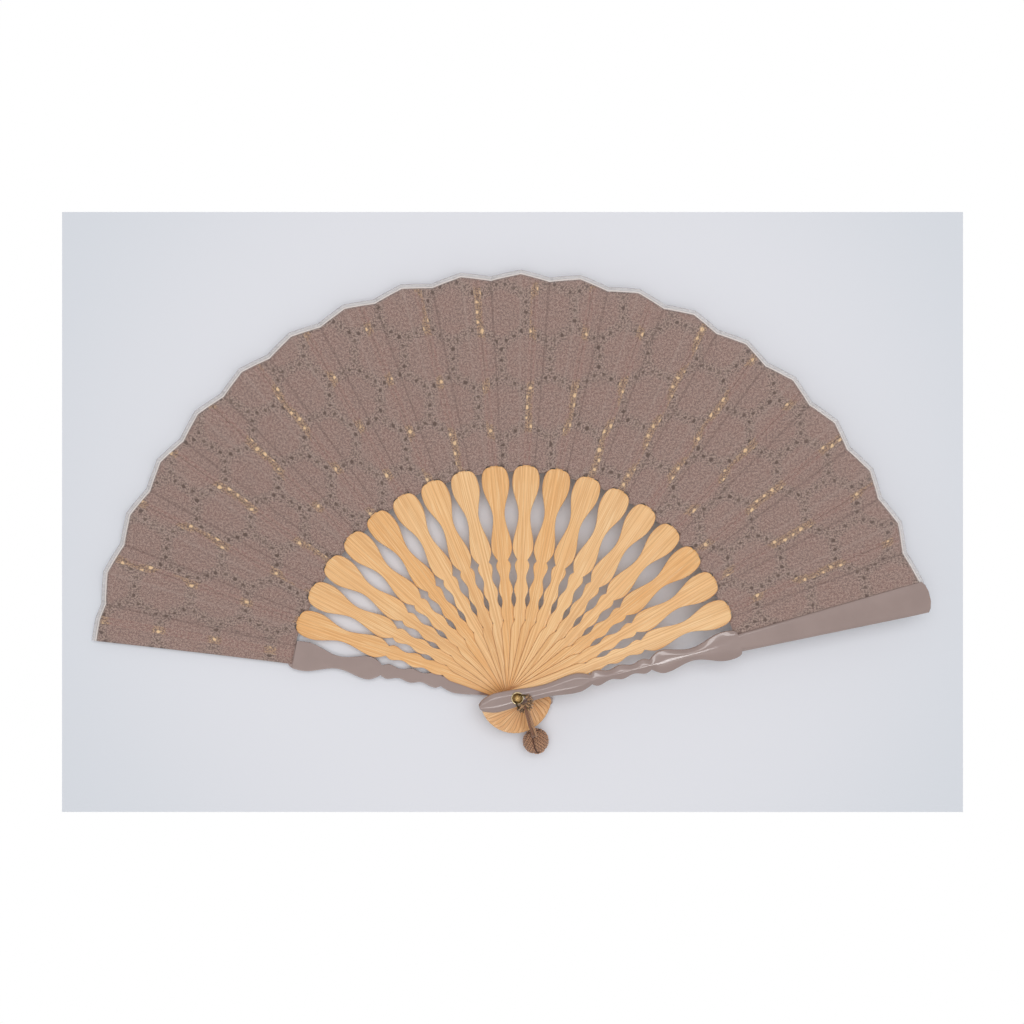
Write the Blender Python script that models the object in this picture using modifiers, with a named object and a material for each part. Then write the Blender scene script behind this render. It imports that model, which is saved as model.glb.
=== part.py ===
"""Open folding fan.

Eighteen bamboo ribs lie between two lacquered guards, all turning on one hollow rivet. A pleated cloth leaf is
glued across them, one wedge from each stick to the next, and a corded ball hangs from a ring in the rivet's pin.

The rivet's axis is Z through the origin, and Z = 0 is the flat back of the rivet. The open leaf points to +Y.
The sticks are stacked upward, from the back guard on the left to the front guard on the right, so the fan
closes by turning every stick anticlockwise onto the back guard.
"""

import math

import bmesh
import bpy
import numpy as np
from mathutils import Vector

# Opening of the fan, in degrees
BACK_GUARD_ANGLE = 169.4
FIRST_GAP = 8.59
RIB_GAP = 8.16
LAST_GAP = 8.7
RIB_COUNT = 18

# Thicknesses and clearances of the stack, in metres
RIB_THICKNESS = 0.00045
GUARD_THICKNESS = 0.0028
RUNNING_GAP = 0.00015
BORE_CLEARANCE = 0.0001

# Rib, along its length from the pivot
RIB_BUTT = 0.0169
RIB_BUTT_HALF_WIDTH = 0.0045
RIB_NECK = 0.0828
RIB_NECK_HALF_WIDTH = 0.00275
RIB_HEAD = 0.0981
RIB_HEAD_HALF_WIDTH = 0.0063
RIB_HEAD_TIP = 0.1056
RIB_TONGUE_HALF_WIDTH = 0.00175
RIB_TONGUE_END_HALF_WIDTH = 0.0012
RIB_TONGUE_END = 0.1885
RIB_TONGUE_THICKNESS = 0.0002
RIB_TONGUE_TWIST_LENGTH = 0.0004
NOTCH_HALF_WIDTH = 0.00235
BUTT_FLAT_SHARE = 0.3

# Guard, along its length from the pivot
GUARD_BUTT = 0.0177
GUARD_BUTT_TIP_HALF_WIDTH = 0.0011
GUARD_BUTT_WIDE = 0.009
GUARD_BUTT_HALF_WIDTH = 0.0044
GUARD_NECK = 0.0824
GUARD_NECK_HALF_WIDTH = 0.0029
GUARD_HEAD = 0.0988
GUARD_HEAD_HALF_WIDTH = 0.0067
GUARD_BLADE_START = 0.1053
GUARD_BLADE_START_HALF_WIDTH = 0.00415
GUARD_BLADE_WIDE = 0.185
GUARD_BLADE_WIDE_HALF_WIDTH = 0.0071
FRONT_GUARD_TIP = 0.1965
BACK_GUARD_TIP = 0.1915
GUARD_TIP_HALF_WIDTH = 0.0073
GUARD_TIP_BULGE = 0.0019
GUARD_TIP_ROUND = 0.0007
GUARD_TIP_ROUND_HALF_WIDTH = 0.0056
GUARD_TIP_FLAT_HALF_WIDTH = 0.0029
GUARD_SEAT_START = 0.1032
GUARD_SEAT_RAMP = 0.0003
GUARD_EDGE_HEIGHT = 0.0016
GUARD_BLADE_EDGE_HEIGHT = 0.0009
GUARD_FACET_SHARE = 0.38
GUARD_BLADE_FACET_SHARE = 0.78

# Cloth leaf
CLOTH_THICKNESS = 0.00012
CLOTH_GAP = 0.00005
CLOTH_HEAD_CLEARANCE = 0.0004
CLOTH_SEAM = 0.00015
PLEAT_TILT = 10.0
LEAF_INNER = 0.1028
LEAF_INNER_ON_GUARD = 0.1037
LEAF_RIM_HIGH = 0.1959
LEAF_RIM_LOW = 0.1935
LEAF_LEFT_OVERHANG = 2.96
LEAF_LEFT_OVERHANG_INNER = 2.46
LEAF_RIGHT_TUCK = 1.7
SEAT_LAYERS = 2.5
SEAT_GAPS = 3

# Rivet
RIVET_HEAD_RADIUS = 0.0028
RIVET_HEAD_THICKNESS = 0.0008
BARREL_RADIUS = 0.0015
BARREL_BORE_RADIUS = 0.00085
BARREL_FLOOR = 0.0008
WASHER_THICKNESS = 0.00025
WASHER_RIM_WIDTH = 0.0005
WASHER_RIM_HEIGHT = 0.0007
PIN_COLLAR_RADIUS = 0.0013
PIN_COLLAR_THICKNESS = 0.00025
PIN_NECK_RADIUS = 0.0011
PIN_NECK_HEIGHT = 0.0019
RING_SHARE_OF_NECK = 0.58
PIN_DOME_RADIUS = 0.0014
PIN_DOME_HEIGHT = 0.0007
PIN_DIMPLE_RADIUS = 0.0004
PIN_DIMPLE_DEPTH = 0.0001

# Ring, cord and ball
RING_RADIUS = 0.00325
RING_WIRE_RADIUS = 0.0004
RING_HOLE_CLEARANCE = 0.00025
RING_DIRECTION = -32.8
CORD_RADIUS = 0.00065
CORD_STEPS = 2
BALL_RADIUS = 0.0061
BALL_DISTANCE = 0.0231
BALL_DIRECTION = -66.4
BALL_FLOOR_GAP = 0.00005

ROUND_STEPS = 24
EDGE_STEPS = 3
END_STEPS = 5

# Heights that follow from the stack
BACK_GUARD_BOTTOM = RIVET_HEAD_THICKNESS + RUNNING_GAP
BACK_GUARD_TOP = BACK_GUARD_BOTTOM + GUARD_THICKNESS
RIB_PITCH = RIB_THICKNESS + RUNNING_GAP
FIRST_RIB_BOTTOM = BACK_GUARD_TOP + RUNNING_GAP
FRONT_GUARD_BOTTOM = FIRST_RIB_BOTTOM + RIB_COUNT * RIB_PITCH
FRONT_GUARD_TOP = FRONT_GUARD_BOTTOM + GUARD_THICKNESS
WASHER_BOTTOM = FRONT_GUARD_TOP + RUNNING_GAP
BARREL_TOP = WASHER_BOTTOM + WASHER_THICKNESS
PIN_COLLAR_BOTTOM = BARREL_TOP + RUNNING_GAP
PIN_NECK_BOTTOM = PIN_COLLAR_BOTTOM + PIN_COLLAR_THICKNESS
PIN_DOME_BOTTOM = PIN_NECK_BOTTOM + PIN_NECK_HEIGHT
RING_HEIGHT = PIN_NECK_BOTTOM + PIN_NECK_HEIGHT * RING_SHARE_OF_NECK
HOLE_RADIUS = BARREL_RADIUS + BORE_CLEARANCE
CLOTH_ABOVE_RIB = RIB_TONGUE_THICKNESS + CLOTH_GAP + CLOTH_THICKNESS / 2
CLOTH_ON_GUARD = CLOTH_GAP + CLOTH_THICKNESS / 2
PLEAT_SLOPE = math.tan(math.radians(PLEAT_TILT))
LEAF_RIM_MIDDLE = (LEAF_RIM_LOW + LEAF_RIM_HIGH) / 2

# Edges of the sticks: distance from the pivot, half width, and how the edge passes through that point
RIB_EDGE = (
    (-RIB_BUTT, RIB_BUTT_HALF_WIDTH * BUTT_FLAT_SHARE, "square"),
    (-RIB_BUTT + RIB_BUTT_HALF_WIDTH, RIB_BUTT_HALF_WIDTH, "round"),
    (0.0300, 0.0038, "round"),
    (0.0347, NOTCH_HALF_WIDTH, "corner"),
    (0.0390, 0.0031, "round"),
    (0.0441, 0.0021, "round"),
    (0.0489, 0.0033, "round"),
    (0.0544, 0.0021, "round"),
    (0.0600, 0.0034, "round"),
    (0.0624, NOTCH_HALF_WIDTH, "corner"),
    (0.0684, 0.0048, "round"),
    (RIB_NECK, RIB_NECK_HALF_WIDTH, "round"),
    (RIB_HEAD, RIB_HEAD_HALF_WIDTH, "round"),
    (RIB_HEAD_TIP, RIB_TONGUE_HALF_WIDTH, "square"),
)
GUARD_EDGE = (
    (-GUARD_BUTT, GUARD_BUTT_TIP_HALF_WIDTH, "corner"),
    (-0.0163, 0.0025, "corner"),
    (-GUARD_BUTT_WIDE, GUARD_BUTT_HALF_WIDTH, "round"),
    (0.0122, 0.0029, "round"),
    (0.0276, 0.0044, "round"),
    (0.0347, NOTCH_HALF_WIDTH, "corner"),
    (0.0374, 0.0036, "round"),
    (0.0438, 0.0022, "round"),
    (0.0489, 0.0033, "round"),
    (0.0545, 0.0022, "round"),
    (0.0598, 0.0034, "round"),
    (0.0628, NOTCH_HALF_WIDTH, "corner"),
    (0.0688, 0.0053, "round"),
    (GUARD_NECK, GUARD_NECK_HALF_WIDTH, "round"),
    (GUARD_HEAD, GUARD_HEAD_HALF_WIDTH, "round"),
    (GUARD_BLADE_START, GUARD_BLADE_START_HALF_WIDTH, "square"),
    (GUARD_BLADE_WIDE, GUARD_BLADE_WIDE_HALF_WIDTH, "corner"),
)
HEAD_ROUNDNESS = 2.5
HEAD_SHOULDER_SHARE = 0.6


def clear_scene():
    for old in list(bpy.data.objects):
        bpy.data.objects.remove(old, do_unlink=True)


def make_collection(name):
    collection = bpy.data.collections.new(name)
    bpy.context.scene.collection.children.link(collection)
    return collection


def make_material(name, colour, roughness, metallic=0.0):
    material = bpy.data.materials.new(name)
    material.use_nodes = True
    shader = material.node_tree.nodes["Principled BSDF"]
    shader.inputs["Base Color"].default_value = (*colour, 1.0)
    shader.inputs["Roughness"].default_value = roughness
    shader.inputs["Metallic"].default_value = metallic
    material.diffuse_color = (*colour, 1.0)
    return material


def place(name, data, collection, material=None, parent=None, height=0.0, shade=None):
    """Put new data in the scene, under its parent, and shade it smooth up to the angle given."""
    piece = bpy.data.objects.new(name, data)
    collection.objects.link(piece)
    piece.parent = parent
    piece.location = (0.0, 0.0, height)
    if material:
        data.materials.append(material)
    if shade:
        data.shade_smooth()
        data.set_sharp_from_angle(angle=math.radians(shade))
    return piece


def edge_curve(keys):
    """Half width along a stick, as rows of distance and half width.

    Between two round points the edge swings over in half a cosine wave. Between a round point and a corner it
    follows a quarter of a sine wave, between a round and a square point a quarter of a superellipse, and
    between any others a straight line.
    """
    rows = [keys[0][:2]]
    for (near, near_half, near_kind), (far, far_half, far_kind) in zip(keys, keys[1:]):
        kinds = {near_kind, far_kind}
        if "round" not in kinds:
            rows.append((far, far_half))
            continue
        steps = END_STEPS if "square" in kinds else EDGE_STEPS
        share = np.linspace(0.0, 1.0, steps + 1)[1:]
        outward = near_kind == "round"
        if kinds == {"round"}:
            along = share
            across = (1 - np.cos(np.pi * share)) / 2
        elif "square" in kinds:
            turn = share * np.pi / 2
            power = 2 / HEAD_ROUNDNESS
            along = np.sin(turn) ** power if outward else 1 - np.cos(turn) ** power
            across = 1 - np.cos(turn) ** power if outward else np.sin(turn) ** power
        else:
            along = share
            across = 1 - np.cos(share * np.pi / 2) if outward else np.sin(share * np.pi / 2)
        for a, b in zip(along, across):
            rows.append((near + (far - near) * a, near_half + (far_half - near_half) * b))
    return np.array(rows)


def loft(name, sections):
    """Join closed sections, each with as many points, into one solid with flat ends."""
    shape = bmesh.new()
    rings = [[shape.verts.new(point) for point in section] for section in sections]
    for near, far in zip(rings, rings[1:]):
        for i in range(len(near)):
            j = (i + 1) % len(near)
            shape.faces.new((near[i], near[j], far[j], far[i]))
    shape.faces.new(reversed(rings[0]))
    shape.faces.new(rings[-1])
    bmesh.ops.recalc_face_normals(shape, faces=shape.faces)
    mesh = bpy.data.meshes.new(name)
    shape.to_mesh(mesh)
    shape.free()
    return mesh


def turned(name, profile, collection, material, parent=None, closed=False):
    """Spin a profile of radius and height about Z. It runs down the outer side."""
    mesh = bpy.data.meshes.new(name)
    count = len(profile)
    links = [(i, i + 1) for i in range(count - 1)]
    if closed:
        links.append((count - 1, 0))
    mesh.from_pydata([(radius, 0.0, height) for radius, height in profile], links, [])
    piece = place(name, mesh, collection, material, parent)
    screw = piece.modifiers.new("turn", "SCREW")
    screw.axis = "Z"
    screw.angle = math.tau
    screw.steps = ROUND_STEPS
    screw.render_steps = ROUND_STEPS
    screw.use_merge_vertices = True
    screw.merge_threshold = 0.00001
    return piece


def make_cutter(name, radius, length, collection, centre, direction=(0.0, 0.0, 1.0)):
    """A round cutter along a direction, about its centre."""
    shape = bmesh.new()
    bmesh.ops.create_cone(
        shape, cap_ends=True, segments=ROUND_STEPS, radius1=radius, radius2=radius, depth=length
    )
    mesh = bpy.data.meshes.new(name)
    shape.to_mesh(mesh)
    shape.free()
    cutter = place(name, mesh, collection)
    cutter.location = centre
    cutter.rotation_euler = Vector(direction).to_track_quat("Z", "Y").to_euler()
    cutter.hide_render = True
    cutter.display_type = "WIRE"
    return cutter


def cut(piece, cutter):
    boolean = piece.modifiers.new(cutter.name, "BOOLEAN")
    boolean.operation = "DIFFERENCE"
    boolean.solver = "EXACT"
    boolean.object = cutter


def make_pivots(collection):
    """One empty for each stick on the rivet's axis, each turned from the one before by its gap."""
    gaps = [FIRST_GAP] + [RIB_GAP] * (RIB_COUNT - 1) + [LAST_GAP]
    pivots = [place("back_guard_pivot", None, collection)]
    pivots[0].rotation_euler.z = math.radians(BACK_GUARD_ANGLE)
    for number, gap in enumerate(gaps, start=1):
        pivot = place(f"pivot_{number:02d}", None, collection, parent=pivots[-1])
        pivot.rotation_euler.z = -math.radians(gap)
        pivots.append(pivot)
    return pivots


def rib_section(distance, half, thickness, tilt=0.0):
    """A flat bar's section, turned about its own length to lie against a pleat."""
    turn = math.radians(tilt)
    corners = ((-half, 0.0), (half, 0.0), (half, thickness), (-half, thickness))
    return [
        (distance, y * math.cos(turn) - z * math.sin(turn), y * math.sin(turn) + z * math.cos(turn))
        for y, z in corners
    ]


def make_ribs(pivots, bore, collection, material):
    """Flat carved strips, each with a thin tongue that turns to the pleat's tilt behind the cloth."""
    sections = [rib_section(distance, half, RIB_THICKNESS) for distance, half in edge_curve(RIB_EDGE)]
    tongue_start = RIB_HEAD_TIP + RIB_TONGUE_TWIST_LENGTH
    for distance, half in (
        (tongue_start, RIB_TONGUE_HALF_WIDTH),
        (RIB_TONGUE_END, RIB_TONGUE_END_HALF_WIDTH),
    ):
        sections.append(rib_section(distance, half, RIB_TONGUE_THICKNESS, PLEAT_TILT))
    mesh = loft("rib", sections)
    mesh.materials.append(material)
    for number in range(1, RIB_COUNT + 1):
        height = FIRST_RIB_BOTTOM + (number - 1) * RIB_PITCH
        rib = place(f"rib_{number:02d}", mesh, collection, parent=pivots[number], height=height)
        cut(rib, bore)


def fold_height(gap, distance):
    """How far a fold stands off the level of its stick, at a distance from the pivot."""
    return PLEAT_SLOPE * distance * math.sin(math.radians(gap / 4))


def seat_depth(gap, distance):
    """Room under a guard for the folded cloth: a pleat's rise and the layers that lie on it."""
    return fold_height(gap, distance) + SEAT_LAYERS * CLOTH_THICKNESS + SEAT_GAPS * CLOTH_GAP


def back_seat(distance):
    return FIRST_RIB_BOTTOM + CLOTH_ABOVE_RIB - seat_depth(FIRST_GAP, distance)


def front_seat(distance):
    last_rib_bottom = FRONT_GUARD_BOTTOM - RIB_PITCH
    return last_rib_bottom + CLOTH_ABOVE_RIB + seat_depth(LAST_GAP, distance)


def guard_edge(tip):
    """The edge that both guards share, and the rounded end of a blade that reaches to its own tip."""
    return (
        *GUARD_EDGE,
        (tip - GUARD_TIP_BULGE, GUARD_TIP_HALF_WIDTH, "corner"),
        (tip - GUARD_TIP_ROUND, GUARD_TIP_ROUND_HALF_WIDTH, "corner"),
        (tip, GUARD_TIP_FLAT_HALF_WIDTH, "corner"),
    )


def make_guard(name, pivot, tip, inner_face, seat, outer_face, bore, collection, material):
    """A thick outer stick: flat inside, with a central facet between two bevels outside.

    Its inner face is cut back from GUARD_SEAT_START on, where the end of the cloth is glued in.
    """
    outward = 1.0 if outer_face > inner_face else -1.0
    seat_end = GUARD_SEAT_START + GUARD_SEAT_RAMP
    edge = edge_curve(guard_edge(tip))
    carved = (GUARD_EDGE_HEIGHT, GUARD_FACET_SHARE)
    blade = (GUARD_BLADE_EDGE_HEIGHT, GUARD_BLADE_FACET_SHARE)
    stations = []
    for distance, half in edge:
        if distance > seat_end:
            stations.append((distance, half, seat(distance), *blade))
        elif distance < GUARD_SEAT_START:
            stations.append((distance, half, inner_face, *carved))
    step_half, seat_half = np.interp((GUARD_SEAT_START, seat_end), edge[:, 0], edge[:, 1])
    stations.append((GUARD_SEAT_START, step_half, inner_face, *carved))
    stations.append((seat_end, seat_half, seat(seat_end), *blade))
    sections = []
    for distance, half, inner, edge_height, share in sorted(stations):
        rim = inner + outward * edge_height
        facet = half * share
        sections.append(
            [
                (distance, -half, inner),
                (distance, half, inner),
                (distance, half, rim),
                (distance, facet, outer_face),
                (distance, -facet, outer_face),
                (distance, -half, rim),
            ]
        )
    guard = place(name, loft(name, sections), collection, material, parent=pivot)
    cut(guard, bore)


def leaf_inner_edge(offset):
    """Inner edge of the cloth at a sideways offset from a rib: past the head's tip, then down beside it."""
    shoulder = RIB_HEAD_HALF_WIDTH * HEAD_SHOULDER_SHARE
    past_tip = RIB_HEAD_TIP + CLOTH_HEAD_CLEARANCE
    return float(np.interp(offset, (shoulder, RIB_HEAD_HALF_WIDTH), (past_tip, LEAF_INNER)))


# Folds of one wedge: share of the gap from its left stick, fold height, and share of the climb to the next stick.
# From the left stick the cloth runs down to a valley, up to a mountain and down to the right stick. The panel
# between keeps low over the panel before it, so that the closed pleats lie in layers. Beside a guard it is flat.
VALLEY = 0.25
MOUNTAIN = 0.75
LIE = (2 * CLOTH_GAP + CLOTH_THICKNESS) / RIB_PITCH
RIB_FOLDS = (
    (0.0, 0.0, 0.0),
    (VALLEY, -1.0, 0.0),
    (0.30, -0.8, LIE),
    (0.42, -0.32, LIE),
    (0.58, 0.32, LIE),
    (0.64, 0.56, LIE),
    (MOUNTAIN, 1.0, 1.0),
    (1.0, 0.0, 1.0),
)
BACK_GUARD_FOLDS = (
    (0.0, 0.0, 0.0),
    (VALLEY, 0.0, 0.0),
    (MOUNTAIN, 1.0, 1.0),
    (1.0, 0.0, 1.0),
)
FRONT_GUARD_FOLDS = (
    (0.0, 0.0, 0.0),
    (VALLEY, -1.0, 0.0),
    (MOUNTAIN, 0.0, 1.0),
    (1.0, 0.0, 1.0),
)


def wedge_rows(folds, gap, ribs, least_inner, left_height, right_height):
    """Inner and outer point of each fold, as angle right of the left stick, distance and height.

    ribs are the shares of the gap at which a rib's head stands in the way of the inner edge.
    """
    rows = []
    for share, fold, climb in folds:
        offset = min(abs(share - rib) for rib in ribs) * math.radians(gap) * RIB_HEAD_TIP
        inner = max(least_inner, leaf_inner_edge(offset))
        outer = np.interp(
            share,
            (0.0, VALLEY, MOUNTAIN, 1.0),
            (LEAF_RIM_MIDDLE, LEAF_RIM_LOW, LEAF_RIM_HIGH, LEAF_RIM_MIDDLE),
        )
        for distance in (inner, float(outer)):
            low = left_height(distance)
            high = right_height(distance)
            height = low + (high - low) * climb + fold * fold_height(gap, distance)
            rows.append((share * gap, distance, height))
    return rows


def make_wedge_mesh(name, rows, material):
    """A strip between each pair of columns, from the inner edge to the rim."""
    points = [
        (
            distance * math.cos(math.radians(angle)),
            -distance * math.sin(math.radians(angle)),
            height,
        )
        for angle, distance, height in rows
    ]
    faces = [(i, i + 2, i + 3, i + 1) for i in range(0, len(points) - 2, 2)]
    mesh = bpy.data.meshes.new(name)
    mesh.from_pydata(points, [], faces)
    mesh.materials.append(material)
    return mesh


def thicken(wedge):
    solidify = wedge.modifiers.new("cloth", "SOLIDIFY")
    solidify.thickness = CLOTH_THICKNESS
    solidify.offset = 0.0
    solidify.use_even_offset = True


def trim_seams(rows, left=True, right=True):
    """Draw the wedge's end columns back from the sticks' centre lines by half a seam."""
    trimmed = list(rows)
    for use, pair, sign in ((left, (0, 1), 1.0), (right, (-2, -1), -1.0)):
        if not use:
            continue
        for i in pair:
            angle, distance, height = trimmed[i]
            turn = math.degrees(CLOTH_SEAM / 2 / distance)
            trimmed[i] = (angle + sign * turn, distance, height)
    return trimmed


def make_leaf(pivots, collection, material):
    """Nineteen pleated wedges, one in each gap, each on the stick at its left."""

    def on_rib(distance):
        return CLOTH_ABOVE_RIB

    def on_next_rib(distance):
        return CLOTH_ABOVE_RIB + RIB_PITCH

    def on_first_rib(distance):
        return FIRST_RIB_BOTTOM + CLOTH_ABOVE_RIB

    def on_back_guard(distance):
        return back_seat(distance) + CLOTH_ON_GUARD

    def on_last_rib(distance):
        return FRONT_GUARD_BOTTOM - RIB_PITCH + CLOTH_ABOVE_RIB

    def on_front_guard(distance):
        return front_seat(distance) - CLOTH_ON_GUARD

    first = wedge_rows(
        BACK_GUARD_FOLDS, FIRST_GAP, (1,), LEAF_INNER_ON_GUARD, on_back_guard, on_first_rib
    )
    (_, inner, low), (_, outer, high) = first[:2]
    overhang = [(-LEAF_LEFT_OVERHANG_INNER, inner, low), (-LEAF_LEFT_OVERHANG, outer, high)]
    first = trim_seams(overhang + first[2:], left=False)
    mesh = make_wedge_mesh("leaf_first", first, material)
    thicken(place("leaf_01", mesh, collection, parent=pivots[0]))

    middle = wedge_rows(RIB_FOLDS, RIB_GAP, (0, 1), LEAF_INNER, on_rib, on_next_rib)
    middle = trim_seams(middle)
    mesh = make_wedge_mesh("leaf_middle", middle, material)
    for number in range(2, RIB_COUNT + 1):
        height = FIRST_RIB_BOTTOM + (number - 2) * RIB_PITCH
        wedge = place(f"leaf_{number:02d}", mesh, collection, parent=pivots[number - 1], height=height)
        thicken(wedge)

    last = wedge_rows(
        FRONT_GUARD_FOLDS, LAST_GAP, (0,), LEAF_INNER_ON_GUARD, on_last_rib, on_front_guard
    )
    (_, inner, low), (_, outer, high) = last[-2:]
    tuck = [(LAST_GAP + LEAF_RIGHT_TUCK, inner, low), (LAST_GAP + LEAF_RIGHT_TUCK, outer, high)]
    last = trim_seams(last[:-2] + tuck, right=False)
    mesh = make_wedge_mesh("leaf_last", last, material)
    thicken(place(f"leaf_{RIB_COUNT + 1:02d}", mesh, collection, parent=pivots[RIB_COUNT]))


def make_rivet(collection, brass):
    """A hollow barrel with a flat back head, and the cupped washer it is spread over at the front."""
    floor = RIVET_HEAD_THICKNESS + BARREL_FLOOR
    barrel = (
        (0.0, floor),
        (BARREL_BORE_RADIUS, floor),
        (BARREL_BORE_RADIUS, BARREL_TOP),
        (BARREL_RADIUS, BARREL_TOP),
        (BARREL_RADIUS, RIVET_HEAD_THICKNESS),
        (RIVET_HEAD_RADIUS, RIVET_HEAD_THICKNESS),
        (RIVET_HEAD_RADIUS, 0.0),
        (0.0, 0.0),
    )
    turned("rivet_barrel", barrel, collection, brass)
    rim = RIVET_HEAD_RADIUS - WASHER_RIM_WIDTH
    washer = (
        (HOLE_RADIUS, WASHER_BOTTOM + WASHER_THICKNESS),
        (rim, WASHER_BOTTOM + WASHER_THICKNESS),
        (rim, WASHER_BOTTOM + WASHER_RIM_HEIGHT),
        (RIVET_HEAD_RADIUS, WASHER_BOTTOM + WASHER_RIM_HEIGHT),
        (RIVET_HEAD_RADIUS, WASHER_BOTTOM),
        (HOLE_RADIUS, WASHER_BOTTOM),
    )
    turned("cup_washer", washer, collection, brass, closed=True)


def make_charm(collection, cutters, brass, antique, thread):
    """The pin that turns in the barrel, the ring through its neck, the doubled cord and the ball."""
    swing = place("charm_pivot", None, collection)
    shank = BARREL_BORE_RADIUS - BORE_CLEARANCE
    foot = RIVET_HEAD_THICKNESS + BARREL_FLOOR + RUNNING_GAP
    dome = [
        (PIN_DOME_RADIUS * math.sin(turn), PIN_DOME_BOTTOM + PIN_DOME_HEIGHT * math.cos(turn))
        for turn in np.linspace(math.asin(PIN_DIMPLE_RADIUS / PIN_DOME_RADIUS), math.pi / 2, 6)
    ]
    pin = [
        (0.0, dome[0][1] - PIN_DIMPLE_DEPTH),
        *dome,
        (PIN_NECK_RADIUS, PIN_DOME_BOTTOM),
        (PIN_NECK_RADIUS, PIN_NECK_BOTTOM),
        (PIN_COLLAR_RADIUS, PIN_NECK_BOTTOM),
        (PIN_COLLAR_RADIUS, PIN_COLLAR_BOTTOM),
        (shank, PIN_COLLAR_BOTTOM),
        (shank, foot),
        (0.0, foot),
    ]
    pin = turned("pivot_pin", pin, collection, brass, swing)

    toward = math.radians(RING_DIRECTION)
    ring_centre = Vector((math.cos(toward), math.sin(toward), 0.0)) * RING_RADIUS
    ring_centre.z = RING_HEIGHT
    across = (-math.sin(toward), math.cos(toward), 0.0)
    hole = make_cutter(
        "ring_hole",
        RING_WIRE_RADIUS + RING_HOLE_CLEARANCE,
        PIN_DOME_RADIUS * 4,
        cutters,
        (0.0, 0.0, RING_HEIGHT),
        across,
    )
    cut(pin, hole)

    bpy.ops.mesh.primitive_torus_add(
        major_segments=32, minor_segments=8, major_radius=RING_RADIUS, minor_radius=RING_WIRE_RADIUS
    )
    ring = bpy.context.object
    for home in list(ring.users_collection):
        home.objects.unlink(ring)
    collection.objects.link(ring)
    ring.name = "jump_ring"
    ring.data.materials.append(antique)
    ring.data.shade_smooth()
    ring.parent = swing
    ring.location = ring_centre

    side = math.radians(BALL_DIRECTION)
    ball_centre = Vector((math.cos(side), math.sin(side), 0.0)) * BALL_DISTANCE
    ball_centre.z = BALL_RADIUS + BALL_FLOOR_GAP
    shape = bmesh.new()
    bmesh.ops.create_uvsphere(shape, u_segments=20, v_segments=12, radius=BALL_RADIUS)
    mesh = bpy.data.meshes.new("ball_knot")
    shape.to_mesh(mesh)
    shape.free()
    ball = place("ball_knot", mesh, collection, thread, swing, shade=60)
    ball.location = ball_centre

    place_cord(cord_points(ring_centre, ball_centre), collection, thread, swing)


# The doubled cord's route: up from the ball, over the ring's wire, back under it and down to the ball again.
# Each row is the distance along the line from the wire to the ball, the offset to its side, and the height.
CORD_ROUTE = (
    (0.01405, -0.00068, 0.01150),
    (0.01362, -0.00068, 0.01285),
    (0.01342, -0.00068, 0.01420),
    (0.01325, -0.00068, 0.01560),
    (0.01288, -0.00068, 0.01702),
    (0.01190, -0.00068, 0.01803),
    (0.01055, -0.00068, 0.01840),
    (0.00860, -0.00068, 0.01844),
    (0.00650, -0.00066, 0.01860),
    (0.00460, -0.00055, 0.01910),
    (0.00300, -0.00045, 0.01995),
    (0.00160, -0.00035, 0.02055),
    (0.00030, -0.00025, 0.02072),
    (-0.00075, -0.00012, 0.02030),
    (-0.00117, 0.00000, 0.01940),
    (-0.00085, 0.00012, 0.01862),
    (0.00010, 0.00020, 0.01827),
    (0.00150, 0.00035, 0.01822),
    (0.00300, 0.00050, 0.01825),
    (0.00500, 0.00062, 0.01830),
    (0.00750, 0.00068, 0.01836),
    (0.01055, 0.00068, 0.01840),
    (0.01190, 0.00068, 0.01803),
    (0.01288, 0.00068, 0.01702),
    (0.01325, 0.00068, 0.01560),
    (0.01342, 0.00068, 0.01420),
    (0.01362, 0.00068, 0.01285),
    (0.01405, 0.00068, 0.01150),
)


def cord_points(ring_centre, ball_centre):
    """The route's points. Its line starts at the ring's wire and runs from the ring's centre to the ball's."""
    line = (ball_centre - ring_centre).xy.normalized()
    start = ring_centre.xy + line * RING_RADIUS
    return [
        (start.x + line.x * along - line.y * aside, start.y + line.y * along + line.x * aside, height)
        for along, aside, height in CORD_ROUTE
    ]


def smooth_route(points, steps):
    """Points on a curve that passes through every point of the route, as a Catmull-Rom spline."""
    route = np.array(points)
    padded = np.vstack([2 * route[0] - route[1], route, 2 * route[-1] - route[-2]])
    share = np.linspace(0.0, 1.0, steps + 1)[:-1, None]
    spans = []
    for a, b, c, d in zip(padded, padded[1:], padded[2:], padded[3:]):
        spans.append(
            0.5 * (2 * b + (c - a) * share + (2 * a - 5 * b + 4 * c - d) * share**2)
            + 0.5 * (3 * b - a - 3 * c + d) * share**3
        )
    return np.vstack([*spans, route[-1:]])


def place_cord(points, collection, material, parent):
    curve = bpy.data.curves.new("charm_cord", "CURVE")
    curve.dimensions = "3D"
    curve.bevel_depth = CORD_RADIUS
    curve.bevel_resolution = 2
    curve.use_fill_caps = True
    spline = curve.splines.new("POLY")
    points = smooth_route(points, CORD_STEPS)
    spline.points.add(len(points) - 1)
    for target, point in zip(spline.points, points):
        target.co = (*point, 1.0)
    place("charm_cord", curve, collection, material, parent)


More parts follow.
